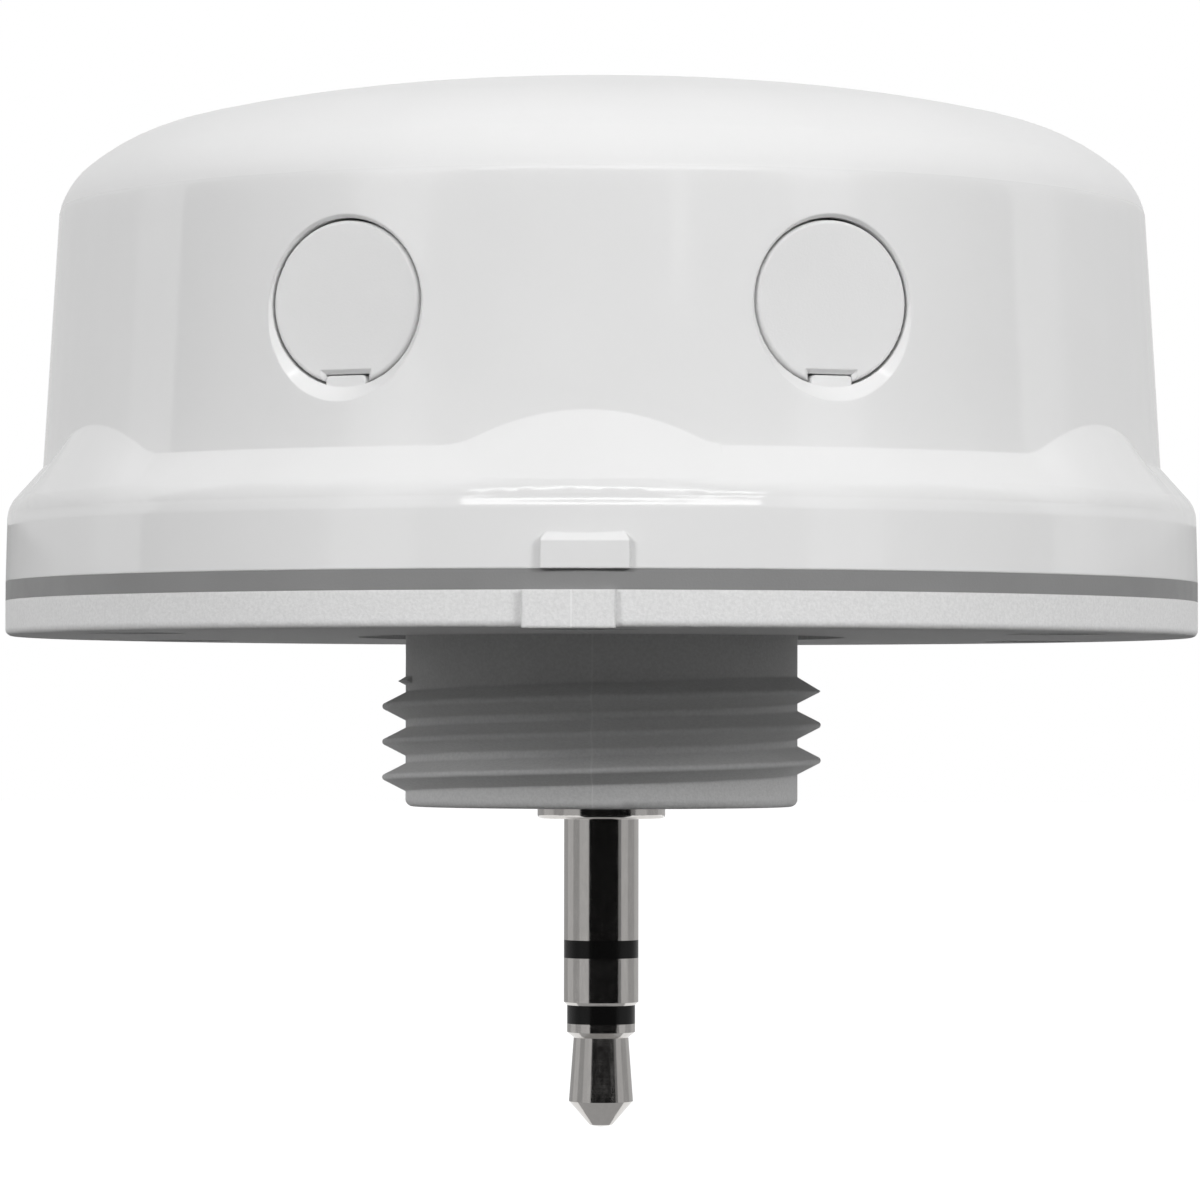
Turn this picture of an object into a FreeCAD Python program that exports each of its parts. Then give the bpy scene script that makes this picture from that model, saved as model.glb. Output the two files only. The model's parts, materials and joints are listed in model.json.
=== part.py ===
import FreeCAD, Part
import math
import os
import Sketcher
from FreeCAD import Placement, Rotation, Vector

# A microwave motion sensor for a high-bay lamp. The round white housing stands on its
# flat underside at height 0. The dome points up and the threaded nipple with its
# audio plug points down. The front, with the two setting caps, faces -Y.
# Heights are measured from the underside, radii from the housing's axis.

# Driving dimensions, in millimetres and degrees
SIZES = [
    # Housing rims and gasket
    ("rim_radius", 27.87, "outer radius of the cover rim, gasket and base rim"),
    ("base_rim_height", 1.62, "height of the base plate's rim"),
    ("base_edge_round", 0.3, "rounding of the base rim's lower edge"),
    ("gasket_height", 0.89, "visible height of the pressed gasket"),
    ("gasket_width", 2.3, "radial width of the gasket"),
    ("gasket_clearance", 0.1, "room between the gasket and the plate's step"),
    ("boss_gap", 0.11, "room between the base plate and the cover's screw bosses"),
    # Cover
    ("skirt_height", 3.49, "height of the upright skirt of the cover"),
    ("skirt_taper", 0.09, "how much the skirt narrows towards its top"),
    ("skirt_wall", 2.2, "wall of the skirt"),
    ("skirt_edge_round", 1.5, "rounding between skirt and shoulder"),
    ("shoulder_run", 1.63, "how far the sloping shoulder leads inwards"),
    ("shoulder_rise", 1.82, "height of the sloping shoulder"),
    ("wall_draft", 0.71, "how much the side wall narrows towards its top"),
    ("wall_rise", 11.8, "height of the drafted side wall"),
    ("crease_angle", 11.7, "slope angle where the dome's first arc starts"),
    ("haunch_radius", 3.69, "radius of the dome's first arc"),
    ("haunch_angle", 50.5, "angle where the first arc ends"),
    ("upper_radius", 10.2, "radius of the dome's second arc"),
    ("upper_angle", 76.7, "angle where the second arc ends"),
    ("crown_flat_radius", 5.47, "radius of the flat middle of the crown"),
    ("cover_wall", 1.8, "wall of the cover"),
    # Six humps on the shoulder, over the screw bosses
    ("hump_rise", 1.5, "height of a hump above the shoulder line"),
    ("hump_half_angle", 13.7, "half width of a hump seen from the axis"),
    ("hump_turn_angle", 10.3, "where a hump's round top changes into its foot"),
    ("hump_root", 0.35, "depth to which the shoulder ring reaches into the wall"),
    # Marks that show how the rims line up
    ("cover_tab_width", 3.8, "width of the cover's alignment tab"),
    ("cover_tab_height", 1.59, "height of the cover's alignment tab"),
    ("cover_tab_round", 0.5, "rounding of its top corners"),
    ("tab_bevel_height", 0.41, "height of the bevel along its top"),
    ("tab_bevel_depth", 0.3, "depth of that bevel"),
    ("tab_depth", 0.2, "how far both tabs stand out of the rims"),
    ("tab_root", 1.0, "how far both tabs reach into the rims"),
    ("base_tab_width", 3.97, "width of the base's alignment tab"),
    ("base_tab_azimuth", -1.42, "angle of the base's tab from the cover's"),
    # Housing screws
    ("screw_boss_radius", 2.1, "radius of the cover's screw bosses"),
    ("screw_boss_inset", 0.15, "how far the screw bosses stay inside the wall's foot"),
    ("screw_boss_end", 0.41, "thickness of a screw boss's closed end"),
    ("screw_radius", 1.1, "thread radius of the housing screws"),
    ("screw_length", 7.6, "length of the housing screws under the head"),
    ("screw_head_radius", 2.05, "head radius of the housing screws"),
    ("screw_head_height", 1.0, "head height of the housing screws"),
    ("screw_head_recess", 0.1, "how far the heads lie inside the underside"),
    ("screw_clearance", 0.2, "room around a screw in the base plate"),
    ("pilot_clearance", 0.05, "room around a screw in its pilot hole"),
    ("pilot_end_room", 0.5, "room beyond the end of a screw"),
    ("screw_slot_width", 0.5, "width of the cross slots in screw heads"),
    ("screw_slot_share", 0.55, "depth of a cross slot as a share of the head"),
    # Nipple and its thread
    ("nipple_radius", 9.2, "radius of the nipple between the thread's ridges"),
    ("nipple_length", 7.93, "length of the nipple below the underside"),
    ("nipple_edge_round", 0.35, "rounding of the nipple's end"),
    ("nipple_wall", 2.2, "wall of the nipple"),
    ("nipple_floor", 2.0, "thickness of the nipple's end wall"),
    ("recess_room", 1.11, "room between the thread and the wall of the recess"),
    ("recess_depth", 0.4, "depth of the recess around the nipple"),
    ("thread_pitch", 1.66, "pitch of the nipple's thread"),
    ("thread_height", 1.09, "height of the thread's ridge above the nipple"),
    ("thread_foot_width", 1.46, "width of the ridge at its foot"),
    ("thread_crest_width", 0.26, "width of the ridge below its rounded crest"),
    ("thread_crest_sag", 0.07, "how far the rounded crest bulges"),
    ("thread_root_sink", 0.15, "how far the ridge reaches into the nipple"),
    ("thread_start_room", 0.93, "distance of the ridge's lower end from the nipple's end"),
    ("thread_end_depth", 1.522, "depth of the crest where the ridge ends"),
    ("thread_fade_top", 1.85, "depth where the ridge has faded out"),
    ("thread_fade_length", 0.66, "length over which the ridge fades out"),
    # Audio plug
    ("plug_radius", 1.75, "radius of the 3.5 mm audio plug"),
    ("collar_radius", 3.0, "radius of the plug's collar"),
    ("collar_height", 0.56, "how far the collar stands below the nipple"),
    ("collar_round", 0.18, "rounding of the collar's lower edge"),
    ("collar_clearance", 0.05, "room around the collar in the end wall"),
    ("shoulder_radius", 4.0, "radius of the plug's shoulder inside the nipple"),
    ("shoulder_height", 1.0, "height of the plug's shoulder"),
    ("sleeve_length", 5.69, "length of the sleeve contact below the collar"),
    ("rear_band", 0.84, "length of the rear black band"),
    ("ring_length", 2.21, "length of the ring contact"),
    ("ring_edge", 0.14, "small bevel at the ring's front edge"),
    ("front_band", 0.87, "length of the front black band"),
    ("front_band_radius", 1.595, "radius of the front black band"),
    ("tip_flange_radius", 1.595, "radius of the tip's flange"),
    ("tip_flange_length", 0.4, "length of the tip's flange"),
    ("tip_neck_radius", 1.285, "radius of the tip's neck"),
    ("tip_neck_fall", 0.26, "length of the cone down to the neck"),
    ("tip_barrel_radius", 1.505, "largest radius of the tip's barrel"),
    ("tip_barrel_length", 2.98, "length of the tip's barrel"),
    ("tip_end_radius", 0.54, "radius of the tip's blunt end"),
    ("tip_end_length", 1.1, "length of the tip's end cone"),
    ("tip_end_sag", 0.1, "how far the blunt end is crowned"),
    ("core_radius", 0.45, "radius of the tip's rod"),
    ("core_wall", 0.25, "wall of each tube around the rod"),
    ("sleeve_top", 0.9, "how far the rear insulator stands above the shoulder"),
    ("tube_step", 0.35, "step between the upper ends of the nested tubes"),
    # Plug carrier, lugs and leads
    ("carrier_height", 3.0, "height of the plug carrier"),
    ("carrier_clearance", 0.1, "room between carrier and nipple bore"),
    ("carrier_lug_room", 0.3, "room between the carrier's bore and the sleeve's lug"),
    ("lug_thickness", 0.3, "thickness of the solder lugs"),
    ("lug_width", 1.2, "width of a lug's upright tab"),
    ("lug_gap", 0.02, "room between a lug and the tube that it goes round"),
    ("sleeve_lug_reach", 2.6, "outer radius of the sleeve's lug"),
    ("ring_lug_reach", 2.0, "outer radius of the ring's lug"),
    ("tip_lug_reach", 1.3, "outer radius of the tip's lug"),
    ("lug_top_depth", 1.2, "depth of the lugs' upper ends below the underside"),
    ("lead_radius", 0.5, "radius of an insulated lead"),
    ("lead_straight", 1.2, "straight part of a lead at each end"),
    ("connector_pitch", 1.25, "distance between the leads in their connector"),
    ("connector_back", 2.6, "how far the connector lies behind the axis"),
    ("connector_length", 5.4, "length of the header under the board"),
    ("connector_depth", 3.2, "depth of the header under the board"),
    ("connector_wall", 0.4, "wall of the header"),
    ("connector_gap", 0.05, "room around the connector in its header"),
    ("header_height", 3.2, "height of the header"),
    ("connector_height", 4.4, "distance from the board to the connector's lower end"),
    # Boards and what stands on them
    ("board_room", 0.6, "room between the main board and the screw bosses"),
    ("board_thickness", 1.6, "thickness of the main board"),
    ("board_post_inset", 3.7, "distance of the board posts from the board's edge"),
    ("board_post_radius", 2.5, "radius of a board post"),
    ("board_screw_radius", 1.0, "thread radius of the board screws"),
    ("board_screw_length", 6.0, "length of the board screws under the head"),
    ("board_screw_head_radius", 1.9, "head radius of the board screws"),
    ("board_screw_head_height", 1.2, "head height of the board screws"),
    ("mcu_width", 6.5, "width of the controller chip"),
    ("mcu_depth", 4.4, "depth of the controller chip"),
    ("mcu_height", 1.1, "height of the controller chip"),
    ("mcu_back", 2.0, "how far the controller chip lies behind the axis"),
    ("regulator_width", 4.6, "width of the voltage regulator"),
    ("regulator_depth", 2.5, "depth of the voltage regulator"),
    ("regulator_height", 1.6, "height of the voltage regulator"),
    ("regulator_side", 8.4, "how far the voltage regulator lies to the left"),
    ("regulator_back", 8.0, "how far the voltage regulator lies behind the axis"),
    ("chip_standoff", 0.15, "height of a chip's package above the board"),
    ("leg_share", 0.45, "width of a chip's leg as a share of the legs' spacing"),
    ("leg_reach", 0.9, "how far a chip's legs stand out"),
    ("leg_thickness", 0.25, "thickness of a chip's legs"),
    ("can_radius", 3.15, "radius of the bulk capacitor's can"),
    ("can_height", 5.2, "height of the bulk capacitor's can"),
    ("can_foot_side", 6.6, "side of the bulk capacitor's square foot"),
    ("can_foot_height", 0.8, "height of the bulk capacitor's foot"),
    ("can_inset", 7.0, "distance of the bulk capacitor from the right edge of the board"),
    ("coil_radius", 1.9, "radius of the inductor's coil"),
    ("coil_height", 2.2, "height of the inductor's coil"),
    ("inductor_width", 5.0, "side of the inductor's square end plates"),
    ("inductor_plate", 0.4, "thickness of the inductor's end plates"),
    ("inductor_inset", 7.7, "distance of the inductor from the left edge of the board"),
    ("power_back", 0.5, "how far the capacitor and the inductor lie behind the axis"),
    ("small_part_width", 0.8, "width of a small capacitor or resistor"),
    ("small_part_length", 1.6, "length of a small capacitor or resistor"),
    ("small_capacitor_height", 0.8, "height of a small capacitor"),
    ("resistor_height", 0.45, "height of a resistor"),
    ("row_pitch", 1.6, "spacing of the small parts in their rows"),
    ("row_start", 5.6, "how far both rows reach to the left"),
    ("capacitor_row_front", 2.2, "how far the small capacitors lie in front of the axis"),
    ("resistor_row_front", 4.6, "how far the resistors lie in front of the axis"),
    ("indicator_width", 2.8, "side of the indicator's square foot"),
    ("sensor_width", 3.2, "side of the light sensor's square foot"),
    ("lens_foot_height", 0.9, "height of the feet of indicator and light sensor"),
    ("lens_height", 0.7, "height of their round lenses"),
    ("lens_share", 0.38, "radius of a lens as a share of its foot's side"),
    ("lens_side", 12.5, "sideways distance of indicator and light sensor"),
    ("lens_front", 8.0, "how far indicator and light sensor lie in front of the axis"),
    ("radar_gap", 6.7, "distance between the two boards"),
    ("radar_length", 18.0, "length of the radar board, front to back"),
    ("radar_width", 20.0, "width of the radar board"),
    ("radar_thickness", 1.0, "thickness of the radar board"),
    ("patch_side", 11.6, "side of the square patch antenna"),
    ("patch_thickness", 0.1, "thickness of the patch antenna"),
    ("shield_length", 12.0, "length of the shield can"),
    ("shield_width", 10.0, "width of the shield can"),
    ("shield_height", 2.0, "height of the shield can"),
    ("shield_wall", 0.2, "sheet thickness of the shield can"),
    ("radar_chip_width", 3.0, "side of the square chip under the radar board"),
    ("radar_chip_height", 0.9, "height of the chip under the radar board"),
    ("spacer_radius", 1.7, "radius of a radar spacer"),
    ("spacer_inset", 2.0, "distance of the spacers from the radar board's edges"),
    ("radar_screw_radius", 0.8, "thread radius of the radar board's screws"),
    ("radar_screw_length", 4.0, "length of the radar board's screws"),
    ("radar_screw_head_radius", 1.5, "head radius of the radar board's screws"),
    ("radar_screw_head_height", 0.9, "head height of the radar board's screws"),
    ("header_inset", 1.5, "distance of the pin header from the radar board's back edge"),
    ("pin_pitch", 2.54, "distance between header pins"),
    ("pin_side", 0.64, "side of a square header pin"),
    ("pin_overhang", 1.0, "how far the pins reach past both boards"),
    ("pin_clearance", 0.1, "room around a pin in a board"),
    # Caps, seals and trimmers at the front
    ("cap_azimuth", 24.3, "angle of the caps from the front"),
    ("cap_rise", 6.26, "height of the caps' centres above the wall's foot"),
    ("cap_face_inset", 0.76, "how far the caps' faces lie inside the wall's foot"),
    ("cap_radius", 3.55, "radius of a cap's disc"),
    ("cap_thickness", 1.0, "thickness of a cap's disc"),
    ("cap_edge_round", 0.18, "rounding of a cap's outer edge"),
    ("cap_gap", 0.1, "gap between a cap and its seat"),
    ("seat_bevel", 1.2, "length of the bevel around a seat"),
    ("ledge_gap", 0.05, "room behind a cap's disc"),
    ("spigot_radius", 3.0, "radius of a cap's spigot"),
    ("spigot_length", 2.5, "length of a cap's spigot"),
    ("spigot_bore", 1.5, "radius of the hollow in a spigot"),
    ("spigot_bore_depth", 2.2, "depth of the hollow in a spigot"),
    ("bore_clearance", 0.15, "room between a spigot and its bore"),
    ("tube_wall", 1.3, "wall of the cover's bore tubes"),
    ("tube_board_room", 0.4, "room between the bore tubes and the board"),
    ("tube_root", 0.45, "how far the bore tubes reach into the wall"),
    ("seal_section", 0.4, "radius of the seal rings' section"),
    ("seal_clearance", 0.07, "room between a seal ring and its bore"),
    ("seal_seat_gap", 0.02, "room between a seal ring and its groove"),
    ("seal_setback", 1.1, "distance of the seal from a spigot's end"),
    ("key_width", 1.9, "width of the key at the bottom of a seat"),
    ("key_round", 0.2, "rounding of the key's top corners"),
    ("key_root", 0.3, "how far the key reaches into the wall"),
    ("notch_side_room", 0.29, "room beside the key in a cap's notch, at its face"),
    ("notch_top_room", 0.27, "room above the key in a cap's notch, at its face"),
    ("notch_bevel", 0.2, "bevel along the edge of a cap's notch"),
    ("trimmer_width", 6.6, "width of a trimmer"),
    ("trimmer_height", 6.6, "height of a trimmer"),
    ("trimmer_depth", 4.2, "depth of a trimmer"),
    ("trimmer_axis_height", 3.6, "height of a rotor's axis above the board"),
    ("trimmer_room", 2.68, "distance between a cap's spigot and its trimmer"),
    ("rotor_radius", 2.4, "radius of a trimmer's rotor"),
    ("rotor_clearance", 0.08, "running clearance around a rotor"),
    ("rotor_socket_depth", 1.6, "depth of a rotor's socket"),
    ("rotor_proud", 0.3, "how far a rotor stands out of its socket"),
    ("rotor_slot_width", 0.7, "width of a rotor's cross slot"),
    ("rotor_slot_length", 3.6, "length of a rotor's cross slot"),
    ("rotor_slot_depth", 0.8, "depth of a rotor's cross slot"),
]

# Counts and places
SCREW_COUNT = 6
POST_COUNT = 3
SMALL_CAPACITOR_COUNT = 6
RESISTOR_COUNT = 8
MCU_LEGS = 8
REGULATOR_LEGS = 3
PIN_PLACES = (-1.5, -0.5, 0.5, 1.5)
NOTCH_BEVEL_ANGLE = 45
LUG_TURNS = {"plug_sleeve_lug": 0.0, "plug_ring_lug": 180.0, "plug_tip_lug": 90.0}

# Shares and limits of the construction
HUMP_STEPS = 24
LEAD_BEND_SHARE = 0.45
HALF_DIAGONAL = math.sqrt(0.5)
SAME_PLACE = 0.001
FIX_LIMIT = 0.0001

doc = FreeCAD.newDocument("motion_sensor")
sheet = doc.addObject("Spreadsheet::Sheet", "sizes")
for row, (alias, number, note) in enumerate(SIZES, start=1):
    sheet.set(f"A{row}", alias)
    sheet.set(f"B{row}", str(number))
    sheet.set(f"C{row}", note)
    sheet.setAlias(f"B{row}", alias)
doc.recompute()


class Size:
    """A length or angle that keeps the sheet formula that gives it."""

    def __init__(self, value, text):
        self.value = value
        self.text = text

    def __add__(self, other):
        return joined(self, "+", other, lambda a, b: a + b)

    def __radd__(self, other):
        return joined(other, "+", self, lambda a, b: a + b)

    def __sub__(self, other):
        return joined(self, "-", other, lambda a, b: a - b)

    def __rsub__(self, other):
        return joined(other, "-", self, lambda a, b: a - b)

    def __mul__(self, other):
        return joined(self, "*", other, lambda a, b: a * b)

    def __rmul__(self, other):
        return joined(other, "*", self, lambda a, b: a * b)

    def __truediv__(self, other):
        return joined(self, "/", other, lambda a, b: a / b)

    def __neg__(self):
        return joined(0, "-", self, lambda a, b: a - b)


def as_size(number):
    """Give a plain number the same form as a size."""
    return number if isinstance(number, Size) else Size(float(number), f"{float(number):.6f}")


def joined(left, sign, right, work):
    """Combine two sizes and their formulas."""
    left = as_size(left)
    right = as_size(right)
    return Size(work(left.value, right.value), f"({left.text} {sign} {right.text})")


def sine(angle):
    return Size(math.sin(math.radians(angle.value)), f"sin({angle.text})")


def cosine(angle):
    return Size(math.cos(math.radians(angle.value)), f"cos({angle.text})")


class Sheet:
    """Reads the driving dimensions by name."""

    def __getattr__(self, alias):
        return Size(float(sheet.get(alias)), f"sizes.{alias}")


d = Sheet()
nodes = []

# Heights and radii that several pieces share
gasket_top = d.base_rim_height + d.gasket_height
gasket_inner_radius = d.rim_radius - d.gasket_width
plateau_radius = gasket_inner_radius - d.gasket_clearance
plate_top = gasket_top - d.boss_gap
skirt_top = gasket_top + d.skirt_height
skirt_top_radius = d.rim_radius - d.skirt_taper
inner_skirt_radius = d.rim_radius - d.skirt_wall
shoulder_top = skirt_top + d.shoulder_rise
wall_foot_radius = skirt_top_radius - d.shoulder_run
wall_top = shoulder_top + d.wall_rise
wall_top_radius = wall_foot_radius - d.wall_draft
wall_slope = d.wall_draft / d.wall_rise
screw_circle_radius = wall_foot_radius - d.screw_boss_inset - d.screw_boss_radius
screw_sink = d.screw_head_height + d.screw_head_recess
nipple_inside = d.nipple_floor - d.nipple_length
nipple_bore_radius = d.nipple_radius - d.nipple_wall
thread_radius = d.nipple_radius + d.thread_height
cap_centre_height = shoulder_top + d.cap_rise
board_top = cap_centre_height - d.trimmer_axis_height
board_bottom = board_top - d.board_thickness
board_radius = screw_circle_radius - d.screw_boss_radius - d.board_room
board_post_circle = board_radius - d.board_post_inset
can_side = board_radius - d.can_inset
inductor_side = board_radius - d.inductor_inset
radar_bottom = board_top + d.radar_gap
radar_top = radar_bottom + d.radar_thickness
spacer_side = d.radar_width / 2 - d.spacer_inset
spacer_front = d.radar_length / 2 - d.spacer_inset
header_back = d.radar_length / 2 - d.header_inset
bore_radius = d.spigot_radius + d.bore_clearance
seat_radius = d.cap_radius + d.cap_gap
cap_face_distance = wall_foot_radius - d.cap_face_inset
cap_back = cap_face_distance - d.cap_thickness
ledge = cap_back - d.ledge_gap
spigot_end = cap_back - d.spigot_length
trimmer_front = spigot_end - d.trimmer_room
rotor_face = trimmer_front + d.rotor_proud
plug_shoulder_top = nipple_inside + d.shoulder_height
rear_tube_top = plug_shoulder_top + d.sleeve_top
ring_tube_top = rear_tube_top + d.tube_step
front_tube_top = ring_tube_top + d.tube_step
core_top = front_tube_top + d.tube_step
front_tube_radius = d.core_radius + d.core_wall
ring_tube_radius = front_tube_radius + d.core_wall
rear_tube_radius = ring_tube_radius + d.core_wall
collar_bottom = -(d.nipple_length + d.collar_height)
sleeve_end = collar_bottom - d.sleeve_length
rear_band_end = sleeve_end - d.rear_band
ring_end = rear_band_end - d.ring_length
front_band_end = ring_end - d.front_band
connector_bottom = board_bottom - d.connector_height
pin_hole_radius = d.pin_side * HALF_DIAGONAL + d.pin_clearance


def bind(item, **sizes):
    """Bind properties of a document object to formulas of the sheet."""
    for name, size in sizes.items():
        item.setExpression(name, as_size(size).text)


def at(item, x=0, y=0, z=0):
    """Put an object at a place that follows the sheet."""
    x, y, z = as_size(x), as_size(y), as_size(z)
    item.Placement = Placement(Vector(x.value, y.value, z.value), item.Placement.Rotation)
    item.setExpression("Placement.Base.x", x.text)
    item.setExpression("Placement.Base.y", y.text)
    item.setExpression("Placement.Base.z", z.text)
    return item


def sideways(item, azimuth):
    """Stand an object on the caps' axis: its z points out of the wall, its y up."""
    place = f"vector(0; 0; {cap_centre_height.text})"
    item.setExpression("Placement", f"placement({place}; rotation({azimuth.text}; 0; 90))")
    return item


def new_body(name):
    return doc.addObject("PartDesign::Body", name)


def keep(item, label):
    """Name a finished piece and put it on the list of nodes."""
    item.Label = label
    nodes.append(item)
    return item


def new_sketch(body, name, role, lift=0, turn=0):
    """A sketch on one of a body's own origin planes."""
    sketch = body.newObject("Sketcher::SketchObject", name)
    plane = [item for item in body.Origin.OriginFeatures if item.Role == role][0]
    sketch.AttachmentSupport = [(plane, "")]
    sketch.MapMode = "FlatFace"
    place = f"vector(0; 0; {as_size(lift).text})"
    sketch.setExpression("AttachmentOffset", f"placement({place}; rotation({as_size(turn).text}; 0; 0))")
    return sketch


def pin_point(sketch, item, end, across, up, name):
    """Fix one point of a sketch to two formulas."""
    for kind, size in (("DistanceX", across), ("DistanceY", up)):
        number = sketch.addConstraint(Sketcher.Constraint(kind, -1, 1, item, end, size.value))
        sketch.renameConstraint(number, name + kind[-1])
        sketch.setExpression(f"Constraints.{name}{kind[-1]}", size.text)


def outline(sketch, corners, arcs={}):
    """Draw a closed outline. arcs gives the radius of the side after a corner:
    positive where the side bulges to the right of its way, negative to the left."""
    points = [(as_size(x), as_size(y)) for x, y in corners]
    count = len(points)
    for i in range(count):
        start, end = points[i], points[(i + 1) % count]
        a = Vector(start[0].value, start[1].value, 0)
        b = Vector(end[0].value, end[1].value, 0)
        if i in arcs:
            radius = as_size(arcs[i])
            side = math.copysign(1, radius.value)
            half = (b - a).Length / 2
            sag = abs(radius.value) - math.sqrt(max(radius.value ** 2 - half ** 2, 0))
            right = Vector(b.y - a.y, a.x - b.x, 0).normalize()
            middle = (a + b) * 0.5 + right * (sag * side)
            ends = (a, middle, b) if side > 0 else (b, middle, a)
            sketch.addGeometry(Part.Arc(*ends), False)
        else:
            sketch.addGeometry(Part.LineSegment(a, b), False)
    reversed_arcs = {i for i, radius in arcs.items() if as_size(radius).value < 0}
    for i in range(count):
        following = (i + 1) % count
        last = 1 if i in reversed_arcs else 2
        first = 2 if following in reversed_arcs else 1
        sketch.addConstraint(Sketcher.Constraint("Coincident", i, last, following, first))
    for i in range(count):
        first = 2 if i in reversed_arcs else 1
        pin_point(sketch, i, first, points[i][0], points[i][1], f"corner{i}")
    for i, radius in arcs.items():
        radius = as_size(radius)
        sign = "" if radius.value > 0 else "-"
        number = sketch.addConstraint(Sketcher.Constraint("Radius", i, abs(radius.value)))
        sketch.renameConstraint(number, f"arc{i}")
        sketch.setExpression(f"Constraints.arc{i}", f"{sign}{radius.text}")
    return sketch


def circle(sketch, radius, x=0, y=0):
    """Draw a circle whose centre and radius follow the sheet."""
    x, y, radius = as_size(x), as_size(y), as_size(radius)
    item = sketch.addGeometry(Part.Circle(Vector(x.value, y.value, 0), Vector(0, 0, 1), radius.value))
    pin_point(sketch, item, 3, x, y, f"centre{item}")
    number = sketch.addConstraint(Sketcher.Constraint("Radius", item, radius.value))
    sketch.renameConstraint(number, f"radius{item}")
    sketch.setExpression(f"Constraints.radius{item}", radius.text)
    return sketch


def rectangle(sketch, left, low, right, high):
    return outline(sketch, [(left, low), (right, low), (right, high), (left, high)])


def revolve(body, name, corners, arcs={}):
    """Turn an outline of radii and heights round the body's Z axis."""
    sketch = outline(new_sketch(body, name + "_profile", "XZ_Plane"), corners, arcs)
    turned = body.newObject("PartDesign::Revolution", name)
    turned.Profile = sketch
    turned.ReferenceAxis = (sketch, ["V_Axis"])
    turned.Angle = 360
    return turned


def pad(body, name, sketch, length):
    """Raise a sketch along its normal."""
    raised = body.newObject("PartDesign::Pad", name)
    raised.Profile = sketch
    bind(raised, Length=length)
    return raised


def pocket(body, name, sketch, depth, flare=0):
    """Cut from a sketch along the body's +Z, widening by an angle, and make sure that something was cut."""
    doc.recompute()
    before = body.Shape.Volume
    cut = body.newObject("PartDesign::Pocket", name)
    cut.Profile = sketch
    cut.Reversed = True
    cut.TaperAngle = flare
    bind(cut, Length=depth)
    doc.recompute()
    if not body.Shape.Volume < before:
        raise RuntimeError(f"{name} cuts nothing")
    return cut


def ring_of(body, name, features, count):
    """Repeat features round the body's Z axis."""
    pattern = body.newObject("PartDesign::PolarPattern", name)
    pattern.Originals = features
    pattern.Axis = ([item for item in body.Origin.OriginFeatures if item.Role == "Z_Axis"][0], [""])
    pattern.Angle = 360
    pattern.Occurrences = count
    body.Tip = pattern
    return pattern


def revolved(name, corners, arcs={}):
    """A body that is one turned outline."""
    body = new_body(name)
    revolve(body, name + "_turn", corners, arcs)
    return body


def cylinder(name, radius, height, x=0, y=0, z=0):
    item = doc.addObject("Part::Cylinder", name)
    bind(item, Radius=radius, Height=height)
    return at(item, x, y, z)


def box(name, width, depth, height, x=0, y=0, z=0):
    """A box centred on x and y that stands on height z."""
    item = doc.addObject("Part::Box", name)
    bind(item, Length=width, Width=depth, Height=height)
    return at(item, as_size(x) - as_size(width) / 2, as_size(y) - as_size(depth) / 2, z)


def fuse(name, pieces):
    item = doc.addObject("Part::MultiFuse", name)
    item.Shapes = pieces
    return item


def cut(name, base, tool):
    item = doc.addObject("Part::Cut", name)
    item.Base = base
    item.Tool = tool
    return item


def group(name, pieces):
    """Several like solids that share one node."""
    item = doc.addObject("Part::Compound", name)
    item.Links = pieces
    return item


def around(radius, azimuth):
    """The x and y of a point at a radius and an angle from the front."""
    azimuth = as_size(azimuth)
    return radius * sine(azimuth), -(radius * cosine(azimuth))


# Cover
def dome_arc_end(radius_from, height_from, arc_radius, angle_from, angle_to):
    """Where an arc of the dome ends that starts at a point with a given slope."""
    across = radius_from - arc_radius * (cosine(angle_from) - cosine(angle_to))
    up = height_from + arc_radius * (sine(angle_to) - sine(angle_from))
    return across, up


def dome_start(inset):
    """Where the dome's first arc starts on the wall, and where its second arc ends."""
    start = (wall_top_radius - inset * cosine(d.crease_angle),
             wall_top - inset * sine(d.crease_angle))
    haunch = dome_arc_end(*start, d.haunch_radius - inset, d.crease_angle, d.haunch_angle)
    upper = dome_arc_end(*haunch, d.upper_radius - inset, d.haunch_angle, d.upper_angle)
    return [start, haunch, upper]


def dome_crown_radius():
    """The radius of the crown, which runs from the second arc to the flat middle."""
    upper = dome_start(as_size(0))[-1]
    return (upper[0] - d.crown_flat_radius) / cosine(d.upper_angle)


def dome_points(inset, crown_radius):
    """The four corners of the dome's profile, inset by a wall."""
    points = dome_start(inset)
    crown_up = points[-1][1] + (crown_radius - inset) * (1 - sine(d.upper_angle))
    return [*points, (d.crown_flat_radius, crown_up)]


def make_cover_shell():
    """The cover without its shoulder: skirt, wall and dome of one turned outline."""
    crown_radius = dome_crown_radius()
    outer = dome_points(as_size(0), crown_radius)
    inner = dome_points(d.cover_wall, crown_radius)
    corners = [
        (inner_skirt_radius, gasket_top),
        (d.rim_radius, gasket_top),
        (skirt_top_radius, skirt_top),
        (wall_foot_radius + d.shoulder_rise * wall_slope, skirt_top),
        *outer,
        (0, outer[-1][1]),
        (0, inner[-1][1]),
        *reversed(inner),
        (wall_foot_radius - d.cover_wall, shoulder_top),
        (inner_skirt_radius, skirt_top),
    ]
    arcs = {
        4: d.haunch_radius,
        5: d.upper_radius,
        6: crown_radius,
        10: -(crown_radius - d.cover_wall),
        11: -(d.upper_radius - d.cover_wall),
        12: -(d.haunch_radius - d.cover_wall),
    }
    return revolved("cover_shell", corners, arcs)


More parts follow.
